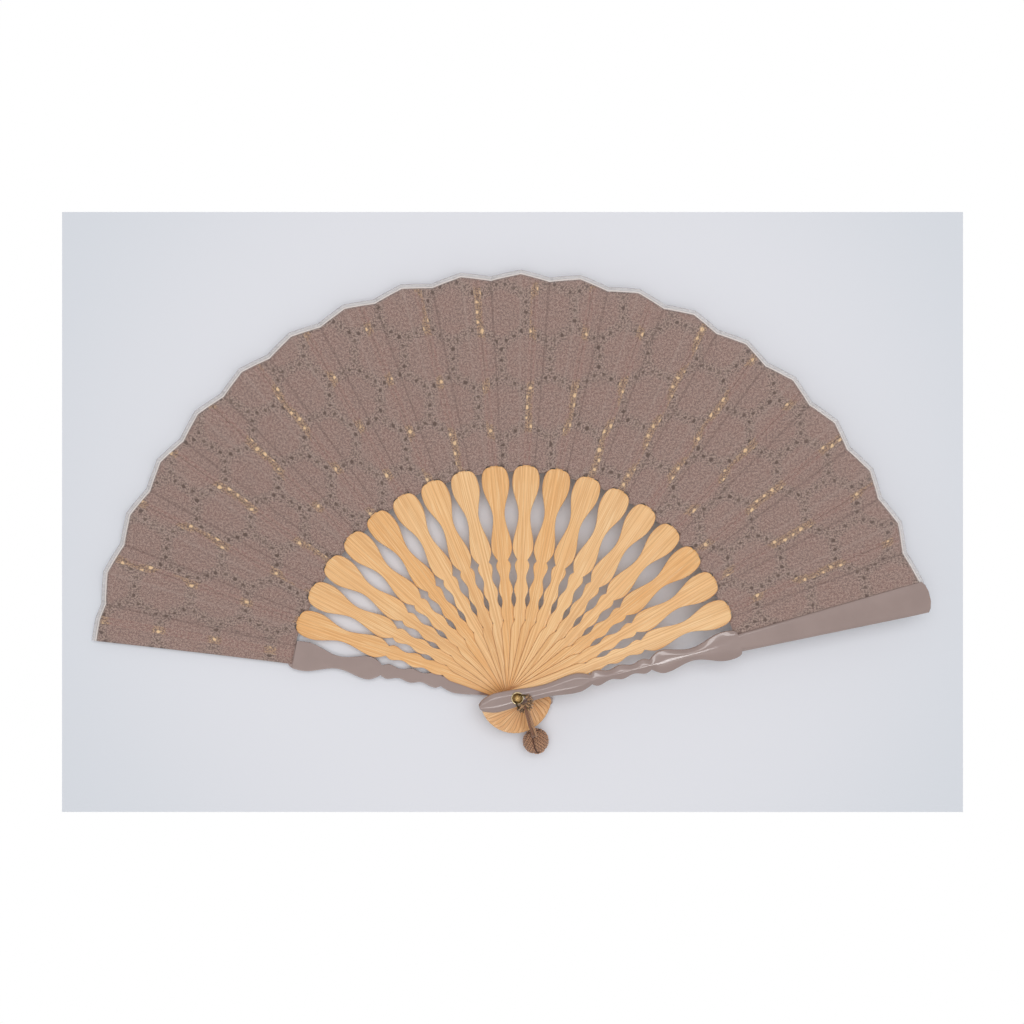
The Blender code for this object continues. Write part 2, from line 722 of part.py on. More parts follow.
def build():
    clear_scene()
    fan = make_collection("folding_fan")
    cutters = make_collection("cutters")
    bamboo = make_material("bamboo", (0.80, 0.52, 0.25), 0.45)
    lacquer = make_material("lacquer", (0.31, 0.24, 0.21), 0.25)
    cloth = make_material("cloth", (0.30, 0.225, 0.20), 0.9)
    brass = make_material("brass", (0.72, 0.55, 0.22), 0.3, 1.0)
    antique = make_material("antique_brass", (0.22, 0.17, 0.08), 0.4, 1.0)
    thread = make_material("thread", (0.21, 0.12, 0.08), 0.85)

    bore_length = FRONT_GUARD_TOP + GUARD_THICKNESS
    bore = make_cutter("pivot_bore", HOLE_RADIUS, bore_length * 2, cutters, (0.0, 0.0, 0.0))
    pivots = make_pivots(fan)
    back = (BACK_GUARD_TOP, back_seat, BACK_GUARD_BOTTOM)
    make_guard("back_guard", pivots[0], BACK_GUARD_TIP, *back, bore, fan, lacquer)
    make_ribs(pivots, bore, fan, bamboo)
    front = (FRONT_GUARD_BOTTOM, front_seat, FRONT_GUARD_TOP)
    make_guard("front_guard", pivots[-1], FRONT_GUARD_TIP, *front, bore, fan, lacquer)
    make_leaf(pivots, fan, cloth)
    make_rivet(fan, brass)
    make_charm(fan, cutters, brass, antique, thread)


build()
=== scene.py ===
import math

import bmesh
import bpy
import numpy as np
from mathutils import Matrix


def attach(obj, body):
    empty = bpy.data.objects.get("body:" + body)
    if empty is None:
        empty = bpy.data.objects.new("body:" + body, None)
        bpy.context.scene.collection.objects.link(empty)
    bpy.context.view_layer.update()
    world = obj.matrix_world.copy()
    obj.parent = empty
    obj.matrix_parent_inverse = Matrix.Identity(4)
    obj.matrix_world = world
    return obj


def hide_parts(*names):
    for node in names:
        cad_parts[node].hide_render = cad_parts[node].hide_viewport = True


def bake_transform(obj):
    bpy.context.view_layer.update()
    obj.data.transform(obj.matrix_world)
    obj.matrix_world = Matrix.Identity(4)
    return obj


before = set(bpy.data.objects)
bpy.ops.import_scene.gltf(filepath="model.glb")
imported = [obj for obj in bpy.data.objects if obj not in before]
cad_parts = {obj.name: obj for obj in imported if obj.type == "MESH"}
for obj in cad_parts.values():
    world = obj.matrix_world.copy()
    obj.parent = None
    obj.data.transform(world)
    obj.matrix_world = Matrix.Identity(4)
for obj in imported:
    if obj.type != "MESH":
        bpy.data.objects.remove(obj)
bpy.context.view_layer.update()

# Camera
# The picture was taken from a good half metre above the open fan, a little to the left of its
# middle and nearly straight down. One pixel is 0.4524 mm on top of the upper guard.
PIXEL = 0.0004524
PICTURE = 1024
SENSOR = 36.0
GUARD_TOP = 0.0175
LENS_DISTANCE = 0.6
LENS_PLACE = (-0.0411, 0.0747, GUARD_TOP + LENS_DISTANCE)
LENS_TILT = (0.01587, -0.06435, 0.0)
lens = bpy.data.cameras.new("camera")
lens.sensor_width = SENSOR
lens.lens = SENSOR * LENS_DISTANCE / (PICTURE * PIXEL)
camera = bpy.data.objects.new("camera", lens)
camera.location = LENS_PLACE
camera.rotation_euler = LENS_TILT
bpy.context.scene.collection.objects.link(camera)
bpy.context.scene.camera = camera
bpy.context.scene.view_settings.view_transform = "Standard"


# Charm cord
# Brown cotton cord of three plies, twisted. It is doubled over the ring's wire, and both of its
# ends go into the ball knot that it is tied in. It hangs over the edge of the closed stack of
# butts, so it stands clear of them. Every UV map, here and below, counts in millimetres.
MM = 1000
CORD_DIAMETER = 0.0013
CORD_LAY = 0.0034
CORD_SIDES = 30
PLIES = 3
PLY_DEPTH = 0.13
RING_RADIUS = 0.00325
RING_CENTRE = np.array([0.0027318, -0.0017606, 0.019402])
BALL_CENTRE = np.array([0.0092482, -0.0211679, 0.00615])

# Each point's distance from the ring's wire towards the ball, its distance to the left, its height
CORD_ROUTE = np.array(
    [
        (0.01405, -0.00068, 0.01150),
        (0.01362, -0.00068, 0.01285),
        (0.01342, -0.00068, 0.01420),
        (0.01325, -0.00068, 0.01560),
        (0.01288, -0.00068, 0.01702),
        (0.01190, -0.00068, 0.01803),
        (0.01055, -0.00068, 0.01840),
        (0.00860, -0.00068, 0.01844),
        (0.00650, -0.00066, 0.01860),
        (0.00460, -0.00055, 0.01910),
        (0.00300, -0.00045, 0.01995),
        (0.00160, -0.00035, 0.02055),
        (0.00030, -0.00025, 0.02072),
        (-0.00075, -0.00012, 0.02030),
        (-0.00117, 0.00000, 0.01940),
        (-0.00085, 0.00012, 0.01862),
        (0.00010, 0.00020, 0.01827),
        (0.00150, 0.00035, 0.01822),
        (0.00300, 0.00050, 0.01825),
        (0.00500, 0.00062, 0.01830),
        (0.00750, 0.00068, 0.01836),
        (0.01055, 0.00068, 0.01840),
        (0.01190, 0.00068, 0.01803),
        (0.01288, 0.00068, 0.01702),
        (0.01325, 0.00068, 0.01560),
        (0.01342, 0.00068, 0.01420),
        (0.01362, 0.00068, 0.01285),
        (0.01405, 0.00068, 0.01150),
    ]
)


def linear(red, green, blue):
    """A colour as it shows on the screen, 0 to 255, as linear light: ((c + 0.055) / 1.055) to the
    power 2.4."""
    shown = np.array([red, green, blue]) / 255
    return (*(((shown + 0.055) / 1.055) ** 2.4), 1.0)


class Wire:
    """A socket of a material. Its operators add Math nodes, so that shader maths reads as an
    expression."""

    def __init__(self, socket):
        self.socket = socket
        self.nodes = socket.id_data.nodes
        self.links = socket.id_data.links

    def node(self, kind, settings=None, inputs=None, output=0):
        """Add a node: its settings first, then values or links for its sockets."""
        made = self.nodes.new(kind)
        for name, value in (settings or {}).items():
            setattr(made, name, value)
        for name, value in (inputs or {}).items():
            if isinstance(value, Wire):
                self.links.new(value.socket, made.inputs[name])
            else:
                made.inputs[name].default_value = value
        return Wire(made.outputs[output])

    def math(self, operation, *others, first=None):
        """A Math node on this wire and others, or with another value first."""
        values = (self, *others) if first is None else (first, self)
        return self.node("ShaderNodeMath", {"operation": operation}, dict(enumerate(values)))

    def __add__(self, other):
        return self.math("ADD", other)

    __radd__ = __add__

    def __sub__(self, other):
        return self.math("SUBTRACT", other)

    def __rsub__(self, other):
        return self.math("SUBTRACT", first=other)

    def __mul__(self, other):
        return self.math("MULTIPLY", other)

    __rmul__ = __mul__

    def __truediv__(self, other):
        return self.math("DIVIDE", other)

    def __rtruediv__(self, other):
        return self.math("DIVIDE", first=other)

    def __abs__(self):
        return self.math("ABSOLUTE")

    def parts(self):
        """The x, y and z of a vector."""
        return [self.node("ShaderNodeSeparateXYZ", None, {0: self}, axis) for axis in range(3)]

    def layer(self, name):
        """Another UV layer of the piece."""
        return self.node("ShaderNodeUVMap", {"uv_map": name})

    def step(self, low, high):
        """0 below low and 1 above high, with a smooth rise between. low may be the larger, for a
        fall."""
        ends = {"Value": self, "From Min": low, "From Max": high}
        return self.node("ShaderNodeMapRange", {"interpolation_type": "SMOOTHSTEP"}, ends)

    def mix(self, first, second):
        """The first colour where this wire is 0 and the second where it is 1."""
        return self.node("ShaderNodeMix", {"data_type": "RGBA"}, {0: self, 6: first, 7: second}, 2)

    def noise(self, scale, detail=2.0, roughness=0.5):
        """Cloudy values about 0.5 over these coordinates."""
        inputs = {"Vector": self, "Scale": scale, "Detail": detail, "Roughness": roughness}
        return self.node("ShaderNodeTexNoise", None, inputs)

    def stretched(self, across, along):
        return self.node("ShaderNodeMapping", None, {"Vector": self, "Scale": (across, along, 1.0)})

    def bump(self, distance, strength=1.0):
        inputs = {"Height": self, "Distance": distance, "Strength": strength}
        return self.node("ShaderNodeBump", None, inputs)

    def into(self, shader, name):
        self.links.new(self.socket, shader.inputs[name])


def new_finish(name, coordinates, **values):
    """A new material, its Principled shader with uniform values set, and a wire from its
    coordinates."""
    finish = bpy.data.materials.new(name)
    finish.use_nodes = True
    shader = finish.node_tree.nodes["Principled BSDF"]
    for socket, value in values.items():
        shader.inputs[socket.replace("_", " ")].default_value = value
    source = finish.node_tree.nodes.new("ShaderNodeTexCoord")
    return finish, shader, Wire(source.outputs[coordinates])


def surface(name, points, around=False, capped=False, uv=None, crease=None):
    """A mesh over a grid of points, rows by columns, with a quad between each four neighbours.

    around joins the last column to the first, and capped closes the first and the last row with one
    face each. uv maps the name of each UV layer to its grid, with one column more than the points
    where they go around. crease is the angle in degrees from which edges stay sharp. In a closed
    shape, points that coincide are merged, and its faces point outwards.
    """
    rows, columns = points.shape[:2]
    wide = columns + around
    corner = np.arange(rows)[:, None] * wide + np.arange(wide)
    quads = np.stack([corner[:-1, :-1], corner[:-1, 1:], corner[1:, 1:], corner[1:, :-1]], -1)
    quads = quads.reshape(-1, 4)
    ends = [corner[0, :columns][::-1], corner[-1, :columns]] if capped else []
    loops = np.concatenate([quads.ravel(), *ends]).astype(int)
    vertex = loops // wide * columns + loops % wide % columns
    sizes = [4] * len(quads) + [columns] * len(ends)
    mesh = bpy.data.meshes.new(name)
    mesh.vertices.add(rows * columns)
    mesh.vertices.foreach_set("co", points.astype(np.float32).ravel())
    mesh.loops.add(len(loops))
    mesh.loops.foreach_set("vertex_index", vertex.astype(np.int32))
    mesh.polygons.add(len(sizes))
    mesh.polygons.foreach_set("loop_start", np.cumsum([0, *sizes[:-1]]).astype(np.int32))
    mesh.update(calc_edges=True)
    for layer_name, grid in (uv or {}).items():
        layer = mesh.uv_layers.new(name=layer_name)
        layer.uv.foreach_set("vector", grid.reshape(-1, 2)[loops].astype(np.float32).ravel())
    if around:
        shape = bmesh.new()
        shape.from_mesh(mesh)
        bmesh.ops.remove_doubles(shape, verts=shape.verts, dist=1e-7)
        bmesh.ops.recalc_face_normals(shape, faces=shape.faces)
        shape.to_mesh(mesh)
        shape.free()
    mesh.shade_smooth()
    if crease:
        mesh.set_sharp_from_angle(angle=math.radians(crease))
    return mesh


def fit(name, points, finish, slot, nodes=(), body=None, **shape):
    """Put a surface in the scene for the nodes that it replaces, on its body."""
    piece = bpy.data.objects.new(name, surface(name, points, **shape))
    bpy.context.scene.collection.objects.link(piece)
    piece.data.materials.append(finish)
    if nodes:
        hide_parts(*nodes)
    if body:
        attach(piece, body)
    return piece


def unit(vectors):
    return vectors / np.linalg.norm(vectors, axis=-1, keepdims=True)


def stacked(*parts):
    """Coordinates joined to points, each stretched to the shape of the largest."""
    return np.stack(np.broadcast_arrays(*parts), -1)


def smooth_route(route, steps):
    """A curve through every point of the route, in cubic pieces whose slope at a point is that
    between its neighbours: the Catmull-Rom formula."""
    padded = np.vstack([2 * route[0] - route[1], route, 2 * route[-1] - route[-2]])
    share = np.linspace(0.0, 1.0, steps, endpoint=False)[None, :, None]
    a, b, c, d = (padded[i : len(padded) - 3 + i, None] for i in range(4))
    spans = b + (c - a) * share / 2 + (2 * a - 5 * b + 4 * c - d) * share**2 / 2
    spans = spans + (3 * b - a - 3 * c + d) * share**3 / 2
    return np.vstack([spans.reshape(-1, 3), route[-1:]])


cord_line = unit((BALL_CENTRE - RING_CENTRE)[:2])
cord_aside = np.array([-cord_line[1], cord_line[0]])
wire_point = RING_CENTRE[:2] + cord_line * RING_RADIUS
cord_plan = wire_point + CORD_ROUTE[:, :1] * cord_line + CORD_ROUTE[:, 1:2] * cord_aside
cord_path = smooth_route(np.hstack([cord_plan, CORD_ROUTE[:, 2:]]), steps=10)


def twisted_cord(path, outward, radius, lay):
    """A tube along a path, whose section has a lobe for each ply and turns once round in each lay.

    Its radius is 1 - depth * (1 - |cos(plies / 2 * (angle - 2 pi * distance / lay))|) times the
    cord's. outward is a direction at each point that the section's angle starts from.
    """
    ahead = unit(np.gradient(path, axis=0))
    over = unit(np.cross(ahead, outward))
    side = np.cross(over, ahead)
    spans = np.linalg.norm(np.diff(path, axis=0), axis=1)
    distance = np.concatenate([[0.0], np.cumsum(spans)])[:, None]
    angle = np.linspace(0.0, math.tau, CORD_SIDES + 1)[None, :]
    lobes = np.abs(np.cos(PLIES / 2 * (angle - math.tau * distance / lay)))
    reach = (radius * (1 - PLY_DEPTH * (1 - lobes)))[..., None]
    ring = side[:, None] * np.cos(angle)[..., None] + over[:, None] * np.sin(angle)[..., None]
    uv = {"UVMap": stacked(distance * MM, angle * radius * MM), "ply": stacked(lobes, 0.0)}
    return (path[:, None] + reach * ring)[:, :-1], uv, float(distance[-1, 0])


cord_points, cord_uv, cord_length = twisted_cord(
    cord_path, outward=(*cord_aside, 0.0), radius=CORD_DIAMETER / 2, lay=CORD_LAY
)

# The thread's plies have a painted highlight on their crowns and painted shade between them, and
# one leg is darker all over.
THREAD = (linear(84, 52, 36), linear(206, 160, 122))
THREAD_DULL = linear(140, 98, 72)
THREAD_LEG = linear(108, 68, 52)
thread, thread_shader, thread_map = new_finish("thread", "UV", Roughness=0.8, Sheen_Weight=0.2)
fibres = thread_map.stretched(1.6, 6.0).noise(1.0, 4.0, 0.65)
ply_height = thread_map.layer("ply").parts()[0]
thread_tone = thread_map.noise(0.45, 2.0)
# Painted shade between the plies and a painted highlight on their crowns, with the fibres' own
# paler and darker streaks
thread_fibre_and_ply_shade = fibres.step(0.30, 0.72) * 0.55 + ply_height.step(0.1, 0.8) * 0.45
thread_ply_shaded = thread_fibre_and_ply_shade.mix(*THREAD)
thread_toned = (thread_tone.step(0.35, 0.7) * 0.4).mix(thread_ply_shaded, THREAD_DULL)
half_way = cord_length * MM / 2
first_leg = thread_map.parts()[0].step(half_way + 1, half_way - 1)
(first_leg * 0.7).mix(thread_toned, THREAD_LEG).into(thread_shader, "Base Color")
fibres.bump(0.00012).into(thread_shader, "Normal")

cord_shape = {"around": True, "capped": True, "uv": cord_uv}
cord = fit(
    "charm_cord_twisted", cord_points, thread, "thread", ["charm_cord"], "charm", **cord_shape
)

# Two whippings of the same yarn, wound round the ring's wire on either side of the cord, keep it in
# its place. They are thickest beside the cord and most of all inside the ring. Their angles are
# degrees round the ring.
WHIPPING_YARN = 0.00042
WHIPPING_LAY = 0.0018
WHIPPING_RADIUS = 0.00076
WHIPPING_SWELL = 0.00040
WHIPPING_INWARD = 0.0013
WHIPPING_SWELL_ARC = 60.0
WHIPPING_PITCH = 18.0
WHIPPING_START = 20.0
WHIPPING_ARCS = (("charm_whipping_left", -45.0), ("charm_whipping_right", 120.0))
YARN = (linear(32, 19, 12), linear(210, 164, 120))
cord_azimuth = math.atan2(cord_line[1], cord_line[0])
yarn, yarn_shader, yarn_map = new_finish("whipping_yarn", "UV", Roughness=0.7, Sheen_Weight=0.2)
# The yarn has a painted highlight on its plies' crowns, and its tone varies at random.
yarn_crown = yarn_map.layer("ply").parts()[0].step(0.4, 0.95)
yarn_crown_highlight_and_tone = yarn_crown * 0.5 + yarn_map.noise(0.5, 3.0).step(0.48, 0.60) * 0.6
yarn_crown_highlight_and_tone.mix(*YARN).into(yarn_shader, "Base Color")
yarn_crown_highlight_and_tone.bump(0.0001).into(yarn_shader, "Normal")
for name, arc in WHIPPING_ARCS:
    along = np.linspace(0.0, 1.0, round(abs(arc) * 3) + 1)
    azimuth = cord_azimuth + np.radians(math.copysign(WHIPPING_START, arc) + arc * along)
    winding = along * arc / WHIPPING_PITCH * math.tau
    radial = stacked(np.cos(azimuth), np.sin(azimuth), 0.0)
    outward = radial * np.cos(winding)[:, None] + stacked(0.0, 0.0, np.sin(winding))
    inward = np.maximum(-np.cos(winding), 0.0)
    swell = np.exp(-((arc * along / WHIPPING_SWELL_ARC) ** 2))
    from_wire = WHIPPING_RADIUS + swell * (WHIPPING_SWELL + WHIPPING_INWARD * inward)
    yarn_path = RING_CENTRE + radial * RING_RADIUS + outward * from_wire[:, None]
    yarn_points, yarn_uv, _ = twisted_cord(yarn_path, outward, WHIPPING_YARN, WHIPPING_LAY)
    yarn_shape = {"around": True, "capped": True, "uv": yarn_uv}
    fit(name, yarn_points, yarn, "thread", body="charm", **yarn_shape)


# Ball knot
# The same cord, braided flat and worked into a round button knot. Its bands lie over each other as
# six cushions with a deep crease between each two, and show as fine slanting rows of stitches.
BALL_RADIUS = 0.0061
CREASE_DEPTH = 0.17
CREASE_WIDTH = 0.085
BALL_TWIST = 0.12
BAND_TILT = 0.58
BAND_SHARE = 0.55
STITCH_ROW = 0.0013
ROW_SLANT = 0.8
STITCH = 0.0009
STITCH_SLANT = 0.8
STITCH_DEPTH = 0.05
STITCH_END = 0.7


def knot_ball(rows, columns):
    """A sphere with six cushions of stitches.

    Its radius dips by a bell curve of the angle to the nearest crease, where two of the cushions'
    three axes lie equally near. The axis towards the cord counts for less, so its cushions are the
    smallest. The pattern is twisted about Z in step with the height, so the creases slant. A row's
    stitches swell as |sin| along it, and lean both ways from its middle, as V shapes. Rows slant
    down to the right on one side of the crease and to the left on the other.
    """
    tilt = np.linspace(0.0, math.pi, rows)[:, None]
    turn = np.linspace(0.0, math.tau, columns + 1)[None, :]
    wound = turn + BALL_TWIST * np.cos(tilt)
    out = stacked(np.sin(tilt) * np.cos(turn), np.sin(tilt) * np.sin(turn), np.cos(tilt))
    pattern = stacked(np.sin(tilt) * np.cos(wound), np.sin(tilt) * np.sin(wound), np.cos(tilt))
    down = np.array([*cord_line, 0.0])
    right = np.array([*cord_aside, 0.0])
    up = np.array([0.0, 0.0, 1.0])
    axes = np.stack([unit(BAND_TILT * right + up), unit(BAND_TILT * up - right), BAND_SHARE * down])
    near = np.sort(np.abs(pattern @ axes.T), axis=-1)
    crease = (near[..., 2] - near[..., 1]) / math.sqrt(2)
    dip = np.exp(-((crease / CREASE_WIDTH) ** 2))
    side = np.where(np.abs(pattern @ axes[0]) > np.abs(pattern @ axes[1]), 1.0, -1.0)[..., None]
    across = (pattern * unit(side * right - ROW_SLANT * down)).sum(-1) * BALL_RADIUS / STITCH_ROW
    along = (pattern * unit(ROW_SLANT * side * right + down)).sum(-1) * BALL_RADIUS / STITCH
    from_middle = np.abs(2 * (across - np.floor(across)) - 1)
    stitch = np.abs(np.sin(math.pi * (along + STITCH_SLANT * from_middle)))
    stitch = stitch * (1 - STITCH_END * from_middle**4)
    reach = BALL_RADIUS * (1 - CREASE_DEPTH * dip - STITCH_DEPTH * (1 - stitch) * (1 - dip))
    points = BALL_CENTRE + reach[..., None] * out
    uv = stacked(wound * BALL_RADIUS * MM, tilt * BALL_RADIUS * MM)
    return points[:, :-1], {"UVMap": uv, "stitch": stacked(stitch, dip)}


# The stitches have a painted highlight on their crowns and painted shade between them, and painted
# shade darkens the creases between the cushions.
BRAID = (linear(62, 36, 26), linear(202, 155, 122))
BRAID_CREASE_SHADE = linear(92, 54, 38)
braid, braid_shader, braid_map = new_finish("braid", "UV", Roughness=0.85, Sheen_Weight=0.2)
stitch_height, stitch_dip, _ = braid_map.layer("stitch").parts()
braid_fuzz = braid_map.noise(2.4, 4.0, 0.7)
braid_stitch_shade = (stitch_height * 0.9 + braid_fuzz * 0.5 - 0.25).step(0.15, 0.75)
braid_stitch_shaded = braid_stitch_shade.mix(*BRAID)
stitch_dip.step(0.25, 0.95).mix(braid_stitch_shaded, BRAID_CREASE_SHADE).into(braid_shader, "Base Color")
braid_fuzz.bump(0.00015).into(braid_shader, "Normal")

ball_points, ball_uv = knot_ball(rows=211, columns=420)
ball_shape = {"around": True, "uv": ball_uv}
ball = fit("ball_knot_braided", ball_points, braid, "thread", ["ball_knot"], "charm", **ball_shape)


# Jump ring
# A closed ring of antique-brass wire, darkened all over and rubbed bright where the cord and the
# pin slide on it.
RING_WIRE = 0.0004
ANTIQUE = (linear(66, 54, 36), linear(170, 142, 88))
antique, antique_shader, antique_map = new_finish("antique_brass", "Object", Metallic=1.0)
rubbed = antique_map.noise(420.0, 3.0, 0.6).step(0.46, 0.72)
rubbed.mix(*ANTIQUE).into(antique_shader, "Base Color")
(0.5 - rubbed * 0.2).into(antique_shader, "Roughness")

# A torus: a circle of the wire's radius carried round a circle of the ring's
turn = np.linspace(0.0, math.tau, 97)[:, None]
around = np.linspace(0.0, math.tau, 20, endpoint=False)
reach = RING_RADIUS + RING_WIRE * np.cos(around)
ring = stacked(reach * np.cos(turn), reach * np.sin(turn), RING_WIRE * np.sin(around))
ring = ring + RING_CENTRE
fit("jump_ring_wire", ring, antique, "antique_brass", ["jump_ring"], "charm", around=True)


# Rivet
# A hollow brass rivet holds every stick. Its flat head is under the back guard, and its barrel is
# spread over a cupped washer on the front guard. In it turns a domed pin, with a cross hole in its
# neck for the ring.
RIVET_HEAD = 0.0028
RIVET_HEAD_TOP = 0.0008
BARREL = 0.0015
BORE = 0.00085
BORE_BOTTOM = 0.0016
WASHER_HOLE = 0.0016
CUP_FLOOR = 0.0021
CUP_EDGE = 0.0023
WASHER_BOTTOM = 0.01765
WASHER_FLOOR = 0.0179
WASHER_RIM = 0.0007
LONGEST_ROUNDING = 0.45


def soften(outline, radius, steps=5, closed=True):
    """Round the corners of an outline, or of many at once: stations by corners by two.

    Each corner becomes a parabola that leaves one side and joins the next at the radius given for
    that corner, and at most at LONGEST_ROUNDING of the side.
    """
    share = np.linspace(0.0, 1.0, steps)[:, None]
    before = np.roll(outline, 1, axis=-2)
    after = np.roll(outline, -1, axis=-2)
    if not closed:
        before[..., 0, :] = outline[..., 0, :]
        after[..., -1, :] = outline[..., -1, :]

    def leave(other):
        side = other - outline
        length = np.linalg.norm(side, axis=-1, keepdims=True)
        return outline + side * np.minimum(radius / np.maximum(length, 1e-9), LONGEST_ROUNDING)

    start = leave(before)[..., None, :]
    end = leave(after)[..., None, :]
    corner = outline[..., None, :]
    bent = start * (1 - share) ** 2 + corner * 2 * share * (1 - share) + end * share**2
    return bent.reshape(*outline.shape[:-2], -1, 2)


def fit_turned(name, profile, node, body, columns=96, crease=50):
    """A brass piece whose profile, of radius and height, is spun about Z."""
    turn = np.linspace(0.0, math.tau, columns, endpoint=False)[None, :]
    reach = profile[:, 0, None]
    points = stacked(reach * np.cos(turn), reach * np.sin(turn), profile[:, 1, None])
    fit(name, points, brass, "brass", [node], body, around=True, crease=crease)


# The washer is pale where it is polished and darker down in its cup, and the pin's dome is yellower
# and worn.
POLISHED = (linear(206, 188, 150), linear(164, 142, 102))
DOMED = (linear(188, 156, 104), linear(122, 96, 60))
CUPPED = linear(150, 120, 72)
brass, brass_shader, brass_map = new_finish("brass", "Object", Metallic=1.0)
brass_x, brass_y, brass_z = brass_map.parts()
brass_plan = brass_map.node("ShaderNodeCombineXYZ", None, {0: brass_x, 1: brass_y})
from_axis = brass_plan.node("ShaderNodeVectorMath", {"operation": "LENGTH"}, {0: brass_plan}, 1)
in_cup = from_axis.step(0.00236, 0.00220) * brass_z.step(0.0196, 0.0190)
tarnish = brass_map.noise(900.0, 3.0, 0.6)
on_dome = brass_z.step(0.0196, 0.0200)
polished = tarnish.step(0.40, 0.75).mix(*POLISHED)
domed = tarnish.step(0.35, 0.65).mix(*DOMED)
in_cup.mix(on_dome.mix(polished, domed), CUPPED).into(brass_shader, "Base Color")
(tarnish * 0.3 + 0.18).into(brass_shader, "Roughness")
brass_map.noise(2600.0, 2.0).bump(0.00001, 0.4).into(brass_shader, "Normal")

barrel = np.array(
    [
        (0.0, BORE_BOTTOM),
        (BORE, BORE_BOTTOM),
        (BORE, WASHER_FLOOR),
        (BARREL, WASHER_FLOOR),
        (BARREL, RIVET_HEAD_TOP),
        (RIVET_HEAD, RIVET_HEAD_TOP),
        (RIVET_HEAD, 0.0),
        (0.0, 0.0),
    ]
)
barrel = soften(barrel, radius=0.00015, closed=False)
fit_turned("rivet", barrel, "rivet_barrel", "back_guard", crease=40)

washer = np.array(
    [
        (WASHER_HOLE, WASHER_FLOOR),
        (CUP_FLOOR, WASHER_FLOOR),
        (CUP_EDGE, WASHER_BOTTOM + WASHER_RIM),
        (RIVET_HEAD, WASHER_BOTTOM + WASHER_RIM),
        (RIVET_HEAD, WASHER_BOTTOM),
        (WASHER_HOLE, WASHER_BOTTOM),
    ]
)
washer = soften(washer, radius=0.00022)
washer = np.vstack([washer, washer[:1]])
fit_turned("cupped_washer", washer, "cup_washer", "back_guard")

PIN_FOOT = 0.00175
PIN_SHANK = 0.00075
COLLAR = 0.0013
COLLAR_BOTTOM = 0.01805
COLLAR_TOP = 0.0183
NECK = 0.0011
DOME_BOTTOM = 0.0202
DOME_HEIGHT = 0.0007
DOME = 0.0014
DIMPLE = 0.00035
DIMPLE_DEPTH = 0.00012
dome_turn = np.linspace(0.0, math.pi / 2, 14)
dome = stacked(DOME * np.sin(dome_turn), DOME_BOTTOM + DOME_HEIGHT * np.cos(dome_turn))
dome[:, 1] -= DIMPLE_DEPTH * np.exp(-((dome[:, 0] / DIMPLE) ** 2))
shaft = np.array(
    [
        (NECK, DOME_BOTTOM),
        (NECK, COLLAR_TOP),
        (COLLAR, COLLAR_TOP),
        (COLLAR, COLLAR_BOTTOM),
        (PIN_SHANK, COLLAR_BOTTOM),
        (PIN_SHANK, PIN_FOOT),
        (0.0, PIN_FOOT),
    ]
)
pin_profile = np.vstack([dome, soften(shaft, radius=0.00008, closed=False)])
fit_turned("pivot_pin_domed", pin_profile, "pivot_pin", "charm", columns=48)


# Ribs
# Eighteen strips of bamboo, sawn to one pattern in a clamped stack, drilled, sealed and lightly
# polished. Each has two small notches, a slim waist and a rounded head, and beyond it a thin tongue
# glued behind the cloth.
RIBS = 18
RIB_GAP = 8.16
STICKS = np.array([169.4, *(160.81 - RIB_GAP * np.arange(RIBS)), 13.39])
FIRST_RIB_BOTTOM = 0.0039
RIB_PITCH = 0.0006
RIB_THICKNESS = 0.00045
TONGUE_THICKNESS = 0.0002
PLEAT_TILT = 10.0
HEAD_TIP = 0.1056
SHOULDER = 0.0004
TONGUE_TIP = 0.1885
TONGUE_HALF = (0.00175, 0.0012)
RIB_ROUNDING = 0.00016
SQUARE_POWER = 2.5
GRAIN_SHIFT = 37.7
RIB_EDGE = (
    (-0.0169, 0.00135, "square"),
    (-0.0124, 0.0045, "round"),
    (0.0300, 0.0038, "round"),
    (0.0347, 0.00235, "corner"),
    (0.0390, 0.0031, "round"),
    (0.0441, 0.0021, "round"),
    (0.0489, 0.0033, "round"),
    (0.0544, 0.0021, "round"),
    (0.0600, 0.0034, "round"),
    (0.0624, 0.00235, "corner"),
    (0.0684, 0.0048, "round"),
    (0.0828, 0.00275, "round"),
    (0.0981, 0.0063, "round"),
    (HEAD_TIP, TONGUE_HALF[0], "square"),
)


def between(values, start, end):
    """0 at the start, 1 at the end, and straight between, with nothing beyond. The start may be the
    larger."""
    return np.clip((values - start) / (end - start), 0.0, 1.0)


def edge_curve(keys, steps):
    """Half width along a stick, as rows of distance and half width.

    Between two round points the edge swings over in half a cosine wave. Between a round point and a
    corner it follows a quarter of a sine wave, between a round and a square point a quarter of a
    superellipse, and between any others a straight line.
    """
    rows = [np.array([keys[0][:2]])]
    share = np.linspace(0.0, 1.0, steps + 1)[1:]
    turn = share * math.pi / 2
    quarter = 1 - np.cos(turn) ** (2 / SQUARE_POWER), np.sin(turn) ** (2 / SQUARE_POWER)
    for (near, near_half, near_kind), (far, far_half, far_kind) in zip(keys, keys[1:]):
        outward = near_kind == "round"
        along = share
        if {near_kind, far_kind} == {"round"}:
            across = (1 - np.cos(math.pi * share)) / 2
        elif "round" not in (near_kind, far_kind):
            across = share
        elif "square" in (near_kind, far_kind):
            across, along = quarter if outward else quarter[::-1]
        else:
            across = 1 - np.cos(turn) if outward else np.sin(turn)
        half = near_half + (far_half - near_half) * across
        rows.append(stacked(near + (far - near) * along, half))
    return np.vstack(rows)


